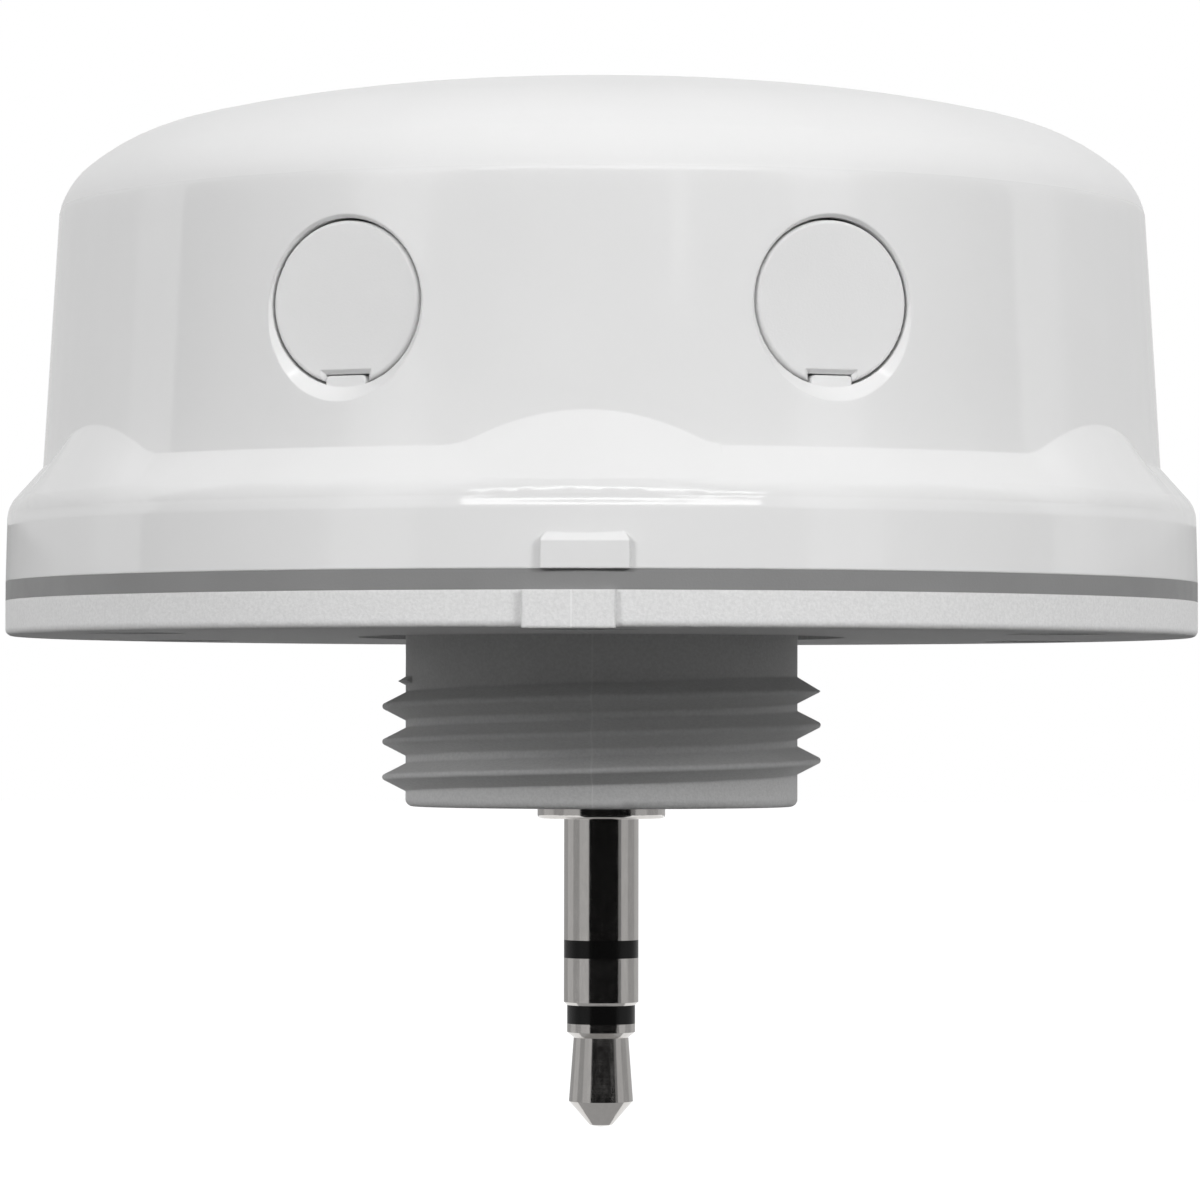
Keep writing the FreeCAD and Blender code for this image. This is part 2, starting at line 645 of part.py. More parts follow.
def shoulder_line(angle):
    """Height of the shoulder's upper end, at an angle from the middle of a hump."""
    half = d.hump_half_angle.value
    turn = d.hump_turn_angle.value
    off = abs(angle)
    if off <= turn:
        share = 1 - off ** 2 / (turn * half)
    elif off < half:
        share = (half - off) ** 2 / (half * (half - turn))
    else:
        share = 0.0
    return shoulder_top.value + d.hump_rise.value * share


def shoulder_root(angle):
    """The point inside the wall that a straight line of the shoulder runs on to."""
    height = shoulder_line(angle)
    wall = wall_foot_radius.value - wall_slope.value * (height - shoulder_top.value)
    root = wall_foot_radius.value - d.hump_root.value
    run = (skirt_top_radius.value - root) / (skirt_top_radius.value - wall)
    return root, skirt_top.value + run * (height - skirt_top.value)


def ring_point(radius, angle, height):
    turn = math.radians(angle)
    return Vector(radius * math.sin(turn), -radius * math.cos(turn), height)


def ring_arc(radius, start, end, height):
    """A level arc between two angles."""
    places = [ring_point(radius, angle, height) for angle in (start, (start + end) / 2, end)]
    return Part.Arc(*places).toShape()


def hump_curve(middle):
    """The upper line of one hump, inside the wall."""
    half = d.hump_half_angle.value
    angles = [half * (2 * step / HUMP_STEPS - 1) for step in range(HUMP_STEPS + 1)]
    points = []
    for angle in angles:
        root, height = shoulder_root(angle)
        points.append(ring_point(root, middle + angle, height))
    turn = math.radians(middle)
    slope = Vector(math.cos(turn - math.radians(half)), math.sin(turn - math.radians(half)), 0)
    leave = Vector(math.cos(turn + math.radians(half)), math.sin(turn + math.radians(half)), 0)
    curve = Part.BSplineCurve()
    curve.interpolate(Points=points, Parameters=angles, InitialTangent=slope, FinalTangent=leave)
    return curve.toShape()


def make_shoulder_ring():
    """The sloping shoulder: straight lines from the skirt's level edge up to a line on
    the wall that rises over each of the six humps."""
    half = d.hump_half_angle.value
    sector = 360 / SCREW_COUNT
    edge = skirt_top_radius.value
    low = skirt_top.value
    root, plain_height = shoulder_root(half)
    faces = []
    outer_arcs = []
    inner_arcs = []
    for number in range(SCREW_COUNT):
        middle = number * sector
        spans = [
            (middle - half, middle + half, hump_curve(middle)),
            (middle + half, middle + sector - half,
             ring_arc(root, middle + half, middle + sector - half, plain_height)),
        ]
        for start, end, upper in spans:
            outer = ring_arc(edge, start, end, low)
            inner = ring_arc(root, start, end, low)
            faces.append(Part.makeRuledSurface(upper, outer))
            faces.append(Part.makeRuledSurface(inner, upper))
            outer_arcs.append(outer)
            inner_arcs.append(inner)
    faces.append(Part.Face([Part.Wire(outer_arcs), Part.Wire(inner_arcs)]))
    shell = Part.makeShell(faces)
    shell.sewShape()
    solid = Part.makeSolid(shell)
    solid.fix(FIX_LIMIT, FIX_LIMIT, FIX_LIMIT)
    item = doc.addObject("Part::Feature", "shoulder_ring")
    item.Shape = solid
    return item


def round_skirt_edge(shape_item):
    """Round the level edge between the skirt and the shoulder."""
    doc.recompute()
    numbers = []
    for number, edge in enumerate(shape_item.Shape.Edges, start=1):
        spots = [edge.valueAt(edge.FirstParameter), edge.valueAt(edge.LastParameter),
                 edge.valueAt((edge.FirstParameter + edge.LastParameter) / 2)]
        heights = [abs(spot.z - skirt_top.value) for spot in spots]
        distances = [abs(math.hypot(spot.x, spot.y) - skirt_top_radius.value) for spot in spots]
        if max(heights + distances) < SAME_PLACE:
            numbers.append(number)
    rounded = doc.addObject("Part::Fillet", "rounded_cover")
    rounded.Base = shape_item
    size = d.skirt_edge_round.value
    rounded.Edges = [(number, size, size) for number in numbers]
    return rounded


def make_cap_bore(name, azimuth):
    """The opening for one cap: bore, seat and bevel, as a cutting tool."""
    reach = cap_face_distance + d.seat_bevel
    corners = [
        (0, trimmer_front),
        (bore_radius, trimmer_front),
        (bore_radius, ledge),
        (seat_radius, ledge),
        (seat_radius, cap_face_distance),
        (seat_radius + d.seat_bevel, reach),
        (0, reach),
    ]
    return sideways(revolved(name, corners), azimuth)


def make_bore_tube(name, azimuth):
    """The tube inside the cover that carries a cap's spigot."""
    inner_end = board_radius + d.tube_board_room
    outer_end = wall_foot_radius - d.cover_wall + d.tube_root
    corners = [
        (0, inner_end),
        (bore_radius + d.tube_wall, inner_end),
        (bore_radius + d.tube_wall, outer_end),
        (0, outer_end),
    ]
    return sideways(revolved(name, corners), azimuth)


def make_key(name, azimuth):
    """The small key at the bottom of a cap's seat."""
    body = new_body(name)
    sketch = new_sketch(body, name + "_outline", "XY_Plane", ledge)
    half = d.key_width / 2
    low = -(seat_radius + d.key_root)
    corners = [
        (-half, low),
        (half, low),
        (half, -bore_radius - d.key_round),
        (half - d.key_round, -bore_radius),
        (d.key_round - half, -bore_radius),
        (-half, -bore_radius - d.key_round),
    ]
    outline(sketch, corners, {2: d.key_round, 4: d.key_round})
    pad(body, name + "_pad", sketch, cap_face_distance - ledge)
    return sideways(body, azimuth)


def make_cover_tab():
    """The alignment tab on the cover's skirt, with two rounded top corners and a bevel between them."""
    body = new_body("cover_tab")
    sketch = new_sketch(body, "cover_tab_outline", "XZ_Plane", d.rim_radius - d.tab_root)
    half = d.cover_tab_width / 2
    high = gasket_top + d.cover_tab_height
    corners = [
        (-half, gasket_top),
        (half, gasket_top),
        (half, high - d.cover_tab_round),
        (half - d.cover_tab_round, high),
        (d.cover_tab_round - half, high),
        (-half, high - d.cover_tab_round),
    ]
    outline(sketch, corners, {2: d.cover_tab_round, 4: d.cover_tab_round})
    pad(body, "cover_tab_pad", sketch, d.tab_root + d.tab_depth)
    front = -(d.rim_radius + d.tab_depth)
    bevel = new_sketch(body, "cover_tab_bevel_outline", "YZ_Plane", -half)
    corners = [
        (front, high - d.tab_bevel_height),
        (front + d.tab_bevel_depth, high),
        (front, high),
    ]
    outline(bevel, corners)
    pocket(body, "cover_tab_bevel", bevel, d.cover_tab_width)
    return body


def make_dome_cover():
    shell = make_cover_shell()
    plain = fuse("plain_cover", [shell, make_shoulder_ring()])
    rounded = round_skirt_edge(plain)
    added = [rounded, make_cover_tab()]
    tools = []
    pilot_depth = d.screw_length - (gasket_top - screw_sink) + d.pilot_end_room
    pilot_radius = d.screw_radius + d.pilot_clearance
    boss_height = pilot_depth + d.screw_boss_end
    for number in range(SCREW_COUNT):
        x, y = around(screw_circle_radius, number * 360 / SCREW_COUNT)
        boss = cylinder(f"screw_boss_{number}", d.screw_boss_radius, boss_height, x, y, gasket_top)
        added.append(boss)
        tools.append(cylinder(f"screw_pilot_{number}", pilot_radius, pilot_depth, x, y, gasket_top))
    keys = []
    for side, azimuth in (("left", -d.cap_azimuth), ("right", d.cap_azimuth)):
        added.append(make_bore_tube(f"{side}_tube", azimuth))
        tools.append(make_cap_bore(f"{side}_bore", azimuth))
        keys.append(make_key(f"{side}_key", azimuth))
    opened = cut("opened_cover", fuse("full_cover", added), fuse("cover_tools", tools))
    return keep(fuse("dome_cover_piece", [opened, *keys]), "dome_cover")


def make_gasket():
    corners = [
        (gasket_inner_radius, d.base_rim_height),
        (d.rim_radius, d.base_rim_height),
        (d.rim_radius, gasket_top),
        (gasket_inner_radius, gasket_top),
    ]
    return keep(revolved("gasket_piece", corners), "perimeter_gasket")


# Base plate with its nipple
def add_thread(body):
    """The helical ridge on the nipple. It starts at the back, where its end is blunt,
    and winds up anticlockwise seen from above."""
    root = d.nipple_radius - d.thread_root_sink
    sag = d.thread_crest_sag
    crest = thread_radius - sag
    crest_half = d.thread_crest_width / 2
    crest_curve = (crest_half * crest_half + sag * sag) / (2 * sag)
    sketch = new_sketch(body, "thread_profile", "YZ_Plane")
    middle = d.thread_start_room - d.nipple_length
    corners = [
        (root, middle - d.thread_foot_width / 2),
        (crest, middle - crest_half),
        (crest, middle + crest_half),
        (root, middle + d.thread_foot_width / 2),
    ]
    outline(sketch, corners, {1: crest_curve})
    ridge = body.newObject("PartDesign::AdditiveHelix", "thread_ridge")
    ridge.Profile = sketch
    ridge.ReferenceAxis = (sketch, ["V_Axis"])
    ridge.Mode = "pitch-turns-angle"
    bind(ridge, Pitch=d.thread_pitch, Turns=(-d.thread_end_depth - middle) / d.thread_pitch)
    ridge.LeftHanded = False
    ridge.Reversed = False
    body.Tip = ridge
    return ridge


def fade_thread(body):
    """Bevel the upper end of the ridge down to the nipple."""
    sketch = new_sketch(body, "fade_profile", "XZ_Plane")
    outside = thread_radius + d.thread_crest_sag
    slope = d.thread_height / d.thread_fade_length
    far_depth = d.thread_fade_top + (outside - d.nipple_radius) / slope
    corners = [
        (d.nipple_radius, -d.thread_fade_top),
        (outside, -far_depth),
        (outside, -d.recess_depth),
        (d.nipple_radius, -d.recess_depth),
    ]
    outline(sketch, corners)
    groove = body.newObject("PartDesign::Groove", "thread_fade")
    groove.Profile = sketch
    groove.ReferenceAxis = (sketch, ["V_Axis"])
    groove.Angle = 360
    return groove


def make_base_plate():
    body = new_body("base_piece")
    plug_hole = d.collar_radius + d.collar_clearance
    corners = [
        (plug_hole, -d.nipple_length),
        (d.nipple_radius - d.nipple_edge_round, -d.nipple_length),
        (d.nipple_radius, d.nipple_edge_round - d.nipple_length),
        (d.nipple_radius, d.recess_depth),
        (thread_radius + d.recess_room, d.recess_depth),
        (thread_radius + d.recess_room, 0),
        (d.rim_radius - d.base_edge_round, 0),
        (d.rim_radius, d.base_edge_round),
        (d.rim_radius, d.base_rim_height),
        (plateau_radius, d.base_rim_height),
        (plateau_radius, plate_top),
        (nipple_bore_radius, plate_top),
        (nipple_bore_radius, nipple_inside),
        (plug_hole, nipple_inside),
    ]
    revolve(body, "plate_turn", corners, {1: d.nipple_edge_round, 6: d.base_edge_round})
    add_thread(body)
    fade_thread(body)

    tab = new_sketch(body, "base_tab_outline", "XY_Plane", turn=d.base_tab_azimuth)
    half = d.base_tab_width / 2
    rectangle(tab, -half, -(d.rim_radius + d.tab_depth), half, d.tab_root - d.rim_radius)
    pad(body, "base_tab", tab, d.base_rim_height)

    post = new_sketch(body, "post_outline", "XY_Plane", plate_top)
    circle(post, d.board_post_radius, 0, -board_post_circle)
    raised = pad(body, "board_post", post, board_bottom - plate_top)
    ring_of(body, "board_posts", [raised], POST_COUNT)

    depth = d.board_screw_length - d.board_thickness + d.pilot_end_room
    pilot = new_sketch(body, "post_pilot_outline", "XY_Plane", board_bottom - depth)
    circle(pilot, d.board_screw_radius + d.pilot_clearance, 0, -board_post_circle)
    ring_of(body, "post_pilots", [pocket(body, "post_pilot", pilot, depth)], POST_COUNT)

    through = new_sketch(body, "screw_hole_outline", "XY_Plane")
    circle(through, d.screw_radius + d.screw_clearance, 0, -screw_circle_radius)
    hole = pocket(body, "screw_hole", through, plate_top)
    ring_of(body, "screw_holes", [hole], SCREW_COUNT)

    sink = new_sketch(body, "screw_sink_outline", "XY_Plane")
    circle(sink, d.screw_head_radius + d.screw_clearance, 0, -screw_circle_radius)
    ring_of(body, "screw_sinks", [pocket(body, "screw_sink", sink, screw_sink)], SCREW_COUNT)
    return keep(body, "base_plate")


# Screws
def make_screw(name, radius, length, head_radius, head_height):
    """A screw that points along its own +Z, with its head's seat at height 0."""
    body = new_body(name)
    corners = [
        (0, -head_height),
        (head_radius - head_height / 2, -head_height),
        (head_radius, -head_height / 2),
        (head_radius, 0),
        (radius, 0),
        (radius, length - radius / 2),
        (radius / 2, length),
        (0, length),
    ]
    revolve(body, name + "_turn", corners, {1: head_height / 2})
    depth = head_height * d.screw_slot_share
    for turn, letter in ((0, "a"), (90, "b")):
        slot = new_sketch(body, f"{name}_slot_{letter}", "XY_Plane", -head_height, turn)
        half = d.screw_slot_width / 2
        reach = head_radius * d.screw_slot_share
        rectangle(slot, -reach, -half, reach, half)
        pocket(body, f"{name}_cut_{letter}", slot, depth)
    return body


def make_housing_screws():
    screws = []
    for number in range(SCREW_COUNT):
        screw = make_screw(f"housing_screw_{number}", d.screw_radius, d.screw_length,
                           d.screw_head_radius, d.screw_head_height)
        x, y = around(screw_circle_radius, number * 360 / SCREW_COUNT)
        screws.append(at(screw, x, y, screw_sink))
    return keep(group("housing_screw_set", screws), "housing_screws")


def upside_down(item):
    item.Placement = Placement(item.Placement.Base, Rotation(Vector(1, 0, 0), 180))
    return item


def make_board_screws():
    screws = []
    for number in range(POST_COUNT):
        screw = make_screw(f"board_screw_{number}", d.board_screw_radius, d.board_screw_length,
                           d.board_screw_head_radius, d.board_screw_head_height)
        x, y = around(board_post_circle, number * 360 / POST_COUNT)
        screws.append(at(upside_down(screw), x, y, board_top))
    return keep(group("board_screw_set", screws), "board_screws")


def make_radar_screws():
    screws = []
    for number, side in enumerate((-1, 1)):
        screw = make_screw(f"radar_screw_{number}", d.radar_screw_radius, d.radar_screw_length,
                           d.radar_screw_head_radius, d.radar_screw_head_height)
        screws.append(at(upside_down(screw), side * spacer_side, -spacer_front, radar_top))
    return keep(group("radar_screw_set", screws), "radar_screws")


# Audio plug
def make_plug_sleeve():
    corners = [
        (rear_tube_radius, sleeve_end),
        (d.plug_radius, sleeve_end),
        (d.plug_radius, collar_bottom),
        (d.collar_radius - d.collar_round, collar_bottom),
        (d.collar_radius, collar_bottom + d.collar_round),
        (d.collar_radius, nipple_inside),
        (d.shoulder_radius, nipple_inside),
        (d.shoulder_radius, plug_shoulder_top),
        (rear_tube_radius, plug_shoulder_top),
    ]
    return keep(revolved("sleeve_piece", corners, {3: d.collar_round}), "plug_sleeve")


def make_rear_insulator():
    corners = [
        (ring_tube_radius, rear_band_end),
        (d.plug_radius, rear_band_end),
        (d.plug_radius, sleeve_end),
        (rear_tube_radius, sleeve_end),
        (rear_tube_radius, rear_tube_top),
        (ring_tube_radius, rear_tube_top),
    ]
    return keep(revolved("rear_insulator_piece", corners), "plug_rear_insulator")


def make_plug_ring():
    corners = [
        (front_tube_radius, ring_end),
        (d.plug_radius - d.ring_edge, ring_end),
        (d.plug_radius, ring_end + d.ring_edge),
        (d.plug_radius, rear_band_end),
        (ring_tube_radius, rear_band_end),
        (ring_tube_radius, ring_tube_top),
        (front_tube_radius, ring_tube_top),
    ]
    return keep(revolved("ring_piece", corners), "plug_ring")


def make_front_insulator():
    corners = [
        (d.core_radius, front_band_end),
        (d.front_band_radius, front_band_end),
        (d.front_band_radius, ring_end),
        (front_tube_radius, ring_end),
        (front_tube_radius, front_tube_top),
        (d.core_radius, front_tube_top),
    ]
    return keep(revolved("front_insulator_piece", corners), "plug_front_insulator")


def make_plug_tip():
    flange_end = front_band_end - d.tip_flange_length
    neck = flange_end - d.tip_neck_fall
    barrel_end = neck - d.tip_barrel_length
    cone_end = barrel_end - d.tip_end_length
    sag = d.tip_end_sag
    end_curve = (d.tip_end_radius * d.tip_end_radius + sag * sag) / (2 * sag)
    corners = [
        (0, cone_end - sag),
        (d.tip_end_radius, cone_end),
        (d.tip_barrel_radius, barrel_end),
        (d.tip_neck_radius, neck),
        (d.tip_flange_radius, flange_end),
        (d.tip_flange_radius, front_band_end),
        (d.core_radius, front_band_end),
        (d.core_radius, core_top),
        (0, core_top),
    ]
    return keep(revolved("tip_piece", corners, {0: end_curve}), "plug_tip")


def make_plug_carrier():
    clear_shoulder = d.shoulder_radius + d.carrier_clearance
    outer = nipple_bore_radius - d.carrier_clearance
    bore = d.sleeve_lug_reach + d.carrier_lug_room
    top = nipple_inside + d.carrier_height
    corners = [
        (clear_shoulder, nipple_inside),
        (outer, nipple_inside),
        (outer, top),
        (bore, top),
        (bore, plug_shoulder_top),
        (clear_shoulder, plug_shoulder_top),
    ]
    return keep(revolved("carrier_piece", corners), "plug_carrier")


def make_lug(label, inner_radius, reach, seat, turn):
    """A solder lug: a washer on the plug with an upright tab for its lead."""
    body = new_body(label + "_piece")
    top = seat + d.lug_thickness
    inner = inner_radius + d.lug_gap
    revolve(body, label + "_washer", [(inner, seat), (reach, seat), (reach, top), (inner, top)])
    tab = new_sketch(body, label + "_tab_outline", "XY_Plane", seat, turn)
    half = d.lug_width / 2
    rectangle(tab, reach - d.lug_thickness, -half, reach, half)
    pad(body, label + "_tab", tab, -d.lug_top_depth - seat)
    return keep(body, label)


def lug_reach(label):
    reaches = {
        "plug_sleeve_lug": d.sleeve_lug_reach,
        "plug_ring_lug": d.ring_lug_reach,
        "plug_tip_lug": d.tip_lug_reach,
    }
    return reaches[label]


def make_lugs():
    seats = {
        "plug_sleeve_lug": (rear_tube_radius, plug_shoulder_top),
        "plug_ring_lug": (ring_tube_radius, rear_tube_top),
        "plug_tip_lug": (d.core_radius, front_tube_top),
    }
    for label, (inner, seat) in seats.items():
        make_lug(label, inner, lug_reach(label), seat, LUG_TURNS[label])


# Leads and their connector
def make_lead(label, lug, place):
    """A lead from the top of a lug to its place in the connector: three straight runs
    joined by two tangent arcs."""
    reach = lug_reach(lug).value - d.lug_thickness.value / 2
    turn = math.radians(LUG_TURNS[lug])
    start = Vector(reach * math.cos(turn), reach * math.sin(turn), -d.lug_top_depth.value)
    end = Vector(place * d.connector_pitch.value, d.connector_back.value, connector_bottom.value)
    up = Vector(0, 0, d.lead_straight.value)
    corners = [start, start + up, end - up, end]
    edges = []
    here = start
    for before, corner, after in zip(corners, corners[1:], corners[2:]):
        coming = (corner - before).normalize()
        going = (after - corner).normalize()
        shorter = min((corner - before).Length, (after - corner).Length)
        back = LEAD_BEND_SHARE * shorter
        half_turn = coming.getAngle(going) / 2
        radius = back / math.tan(half_turn)
        print(f"{label} bend radius {radius:.2f}")
        first = corner - coming * back
        last = corner + going * back
        inward = (going - coming).normalize()
        middle = corner + inward * (radius / math.cos(half_turn) - radius)
        edges.append(Part.LineSegment(here, first).toShape())
        edges.append(Part.Arc(first, middle, last).toShape())
        here = last
    edges.append(Part.LineSegment(here, end).toShape())
    path = Part.Wire(edges)
    round_end = Part.Wire(Part.Circle(start, Vector(0, 0, 1), d.lead_radius.value).toShape())
    tube = path.makePipeShell([round_end], True, False)
    expected = math.pi * d.lead_radius.value ** 2 * path.Length
    print(f"{label} volume {tube.Volume:.3f}, section times length {expected:.3f}")
    item = doc.addObject("Part::Feature", label + "_piece")
    item.Shape = tube
    return keep(item, label)


def make_leads():
    make_lead("sleeve_lead", "plug_sleeve_lug", 1)
    make_lead("ring_lead", "plug_ring_lug", -1)
    make_lead("tip_lead", "plug_tip_lug", 0)


def make_lead_connector():
    """The header under the board and the connector on the leads that sits in it."""
    outer = box("header_block", d.connector_length, d.connector_depth, d.header_height,
                0, d.connector_back, board_bottom - d.header_height)
    hollow_length = d.connector_length - 2 * d.connector_wall
    hollow_depth = d.connector_depth - 2 * d.connector_wall
    hollow = box("header_hollow", hollow_length, hollow_depth, d.header_height - d.connector_wall,
                 0, d.connector_back, board_bottom - d.header_height)
    keep(cut("header_piece", outer, hollow), "lead_header")
    inner_length = hollow_length - 2 * d.connector_gap
    inner_depth = hollow_depth - 2 * d.connector_gap
    inner_height = d.connector_height - d.connector_wall
    inner = box("connector_block", inner_length, inner_depth, inner_height,
                0, d.connector_back, connector_bottom)
    keep(inner, "lead_connector")


# Boards and electronics
def make_main_board():
    body = new_body("main_board_piece")
    disc = new_sketch(body, "board_outline", "XY_Plane", board_bottom)
    circle(disc, board_radius)
    pad(body, "board_disc", disc, d.board_thickness)
    hole = new_sketch(body, "board_hole_outline", "XY_Plane", board_bottom)
    circle(hole, d.board_screw_radius + d.screw_clearance, 0, -board_post_circle)
    ring_of(body, "board_holes", [pocket(body, "board_hole", hole, d.board_thickness)], POST_COUNT)
    pins = new_sketch(body, "board_pin_outline", "XY_Plane", board_bottom)
    for place in PIN_PLACES:
        circle(pins, pin_hole_radius, place * d.pin_pitch, header_back)
    pocket(body, "board_pin_holes", pins, d.board_thickness)
    return keep(body, "main_board")


def make_radar_board():
    body = new_body("radar_board_piece")
    plate = new_sketch(body, "radar_outline", "XY_Plane", radar_bottom)
    half_width = d.radar_width / 2
    half_length = d.radar_length / 2
    rectangle(plate, -half_width, -half_length, half_width, half_length)
    pad(body, "radar_plate", plate, d.radar_thickness)
    holes = new_sketch(body, "radar_hole_outline", "XY_Plane", radar_bottom)
    for side in (-1, 1):
        circle(holes, d.radar_screw_radius + d.screw_clearance, side * spacer_side, -spacer_front)
    for place in PIN_PLACES:
        circle(holes, pin_hole_radius, place * d.pin_pitch, header_back)
    pocket(body, "radar_holes", holes, d.radar_thickness)
    return keep(body, "radar_board")


def make_radar_parts():
    """What the radar board carries, and what carries the radar board."""
    keep(box("patch", d.patch_side, d.patch_side, d.patch_thickness, 0, 0, radar_top), "patch_antenna")
    floor = radar_bottom - d.shield_height
    can = box("can_block", d.shield_width, d.shield_length, d.shield_height, 0, 0, floor)
    room = box("can_room", d.shield_width - 2 * d.shield_wall, d.shield_length - 2 * d.shield_wall,
               d.shield_height - d.shield_wall, 0, 0, floor + d.shield_wall)
    keep(cut("can_piece", can, room), "radar_shield")
    chip = box("radar_chip_block", d.radar_chip_width, d.radar_chip_width, d.radar_chip_height,
               0, 0, radar_bottom - d.radar_chip_height)
    keep(chip, "radar_chip")

    spacers = []
    for number, side in enumerate((-1, 1)):
        post = cylinder(f"spacer_{number}", d.spacer_radius, d.radar_gap,
                        side * spacer_side, -spacer_front, board_top)
        bore = cylinder(f"spacer_bore_{number}", d.radar_screw_radius + d.pilot_clearance, d.radar_gap,
                        side * spacer_side, -spacer_front, board_top)
        spacers.append(cut(f"spacer_piece_{number}", post, bore))
    keep(group("spacer_set", spacers), "radar_spacers")

    length = len(PIN_PLACES) * d.pin_pitch
    strip = box("strip_block", length, d.pin_pitch, d.pin_pitch, 0, header_back, board_top)
    slots = []
    pins = []
    low = board_bottom - d.pin_overhang
    high = radar_top + d.pin_overhang
    for number, place in enumerate(PIN_PLACES):
        x = place * d.pin_pitch
        pin = box(f"pin_{number}", d.pin_side, d.pin_side, high - low, x, header_back, low)
        slot = box(f"pin_slot_{number}", d.pin_side, d.pin_side, d.pin_pitch, x, header_back, board_top)
        pins.append(pin)
        slots.append(slot)
    keep(cut("strip_piece", strip, fuse("pin_slots", slots)), "radar_header")
    keep(group("pin_set", pins), "radar_pins")


def make_chip(label, x, y, width, depth, height, legs):
    """A chip with a row of small legs along each of its long sides."""
    package = height - d.chip_standoff
    parts = [box(label + "_block", width, depth, package, x, y, board_top + d.chip_standoff)]
    spacing = width / (legs + 1)
    for number in range(legs):
        leg = box(f"{label}_leg_{number}", spacing * d.leg_share, depth + 2 * d.leg_reach, d.leg_thickness,
                  x - width / 2 + spacing * (number + 1), y, board_top)
        parts.append(leg)
    return keep(fuse(label + "_piece", parts), label)


def make_chips():
    make_chip("mcu_chip", as_size(0), d.mcu_back, d.mcu_width, d.mcu_depth, d.mcu_height, MCU_LEGS)
    make_chip("voltage_regulator", -d.regulator_side, d.regulator_back, d.regulator_width,
              d.regulator_depth, d.regulator_height, REGULATOR_LEGS)


def make_bulk_capacitor():
    foot = box("capacitor_foot", d.can_foot_side, d.can_foot_side, d.can_foot_height,
               can_side, d.power_back, board_top)
    can = cylinder("capacitor_can", d.can_radius, d.can_height,
                   can_side, d.power_back, board_top + d.can_foot_height)
    return keep(fuse("capacitor_piece", [can, foot]), "bulk_capacitor")


def make_inductor():
    """A coil between two square end plates."""
    coil_foot = board_top + d.inductor_plate
    coil = cylinder("inductor_coil", d.coil_radius, d.coil_height, -inductor_side, d.power_back, coil_foot)
    plates = []
    for number, height in enumerate((board_top, coil_foot + d.coil_height)):
        plate = box(f"inductor_plate_{number}", d.inductor_width, d.inductor_width, d.inductor_plate,
                    -inductor_side, d.power_back, height)
        plates.append(plate)
    return keep(fuse("inductor_piece", [coil, *plates]), "power_inductor")


def make_row(label, count, height, front):
    """A row of small parts on the main board."""
    parts = []
    for number in range(count):
        parts.append(box(f"{label}_{number}", d.small_part_width, d.small_part_length, height,
                         number * d.row_pitch - d.row_start, -front, board_top))
    return keep(group(label + "_set", parts), label)


def make_lens_part(label, side, width):
    """A square foot with a round lens on it."""
    x = side * d.lens_side
    foot = box(label + "_foot", width, width, d.lens_foot_height, x, -d.lens_front, board_top)
    lens = cylinder(label + "_lens", width * d.lens_share, d.lens_height,
                    x, -d.lens_front, board_top + d.lens_foot_height)
    return keep(fuse(label + "_piece", [foot, lens]), label)


def make_board_parts():
    make_chips()
    make_bulk_capacitor()
    make_inductor()
    make_row("ceramic_capacitors", SMALL_CAPACITOR_COUNT, d.small_capacitor_height, d.capacitor_row_front)
    make_row("chip_resistors", RESISTOR_COUNT, d.resistor_height, d.resistor_row_front)
    make_lens_part("indicator_led", 1, d.indicator_width)
    make_lens_part("light_sensor", -1, d.sensor_width)


# Caps, seals and trimmers, built along the caps' axis
def make_cap(label, azimuth):
    body = new_body(label + "_piece")
    groove_radius = bore_radius - d.seal_clearance - 2 * d.seal_section - d.seal_seat_gap
    seal_middle = spigot_end + d.seal_setback
    groove_half = d.seal_section + d.bore_clearance
    face = cap_face_distance
    corners = [
        (0, spigot_end + d.spigot_bore_depth),
        (d.spigot_bore, spigot_end + d.spigot_bore_depth),
        (d.spigot_bore, spigot_end),
        (d.spigot_radius, spigot_end),
        (d.spigot_radius, seal_middle - groove_half),
        (groove_radius, seal_middle - groove_half),
        (groove_radius, seal_middle + groove_half),
        (d.spigot_radius, seal_middle + groove_half),
        (d.spigot_radius, cap_back),
        (d.cap_radius, cap_back),
        (d.cap_radius, face - d.cap_edge_round),
        (d.cap_radius - d.cap_edge_round, face),
        (0, face),
    ]
    revolve(body, label + "_turn", corners, {10: d.cap_edge_round})
    half = d.key_width / 2 + d.notch_side_room - d.notch_bevel
    high = d.notch_top_room - d.notch_bevel - bore_radius
    notch = new_sketch(body, label + "_notch_outline", "XY_Plane", cap_back)
    rectangle(notch, -half, -seat_radius, half, high)
    pocket(body, label + "_notch", notch, d.cap_thickness)
    bevel = new_sketch(body, label + "_notch_bevel_outline", "XY_Plane", face - d.notch_bevel)
    rectangle(bevel, -half, -seat_radius, half, high)
    pocket(body, label + "_notch_bevel", bevel, d.notch_bevel, NOTCH_BEVEL_ANGLE)
    return keep(sideways(body, azimuth), label)


def make_seal(label, azimuth):
    """The ring in a cap's groove."""
    body = new_body(label + "_piece")
    middle_radius = bore_radius - d.seal_clearance - d.seal_section
    sketch = new_sketch(body, label + "_section", "XZ_Plane")
    circle(sketch, d.seal_section, middle_radius, spigot_end + d.seal_setback)
    turned = body.newObject("PartDesign::Revolution", label + "_turn")
    turned.Profile = sketch
    turned.ReferenceAxis = (sketch, ["V_Axis"])
    turned.Angle = 360
    return keep(sideways(body, azimuth), label)


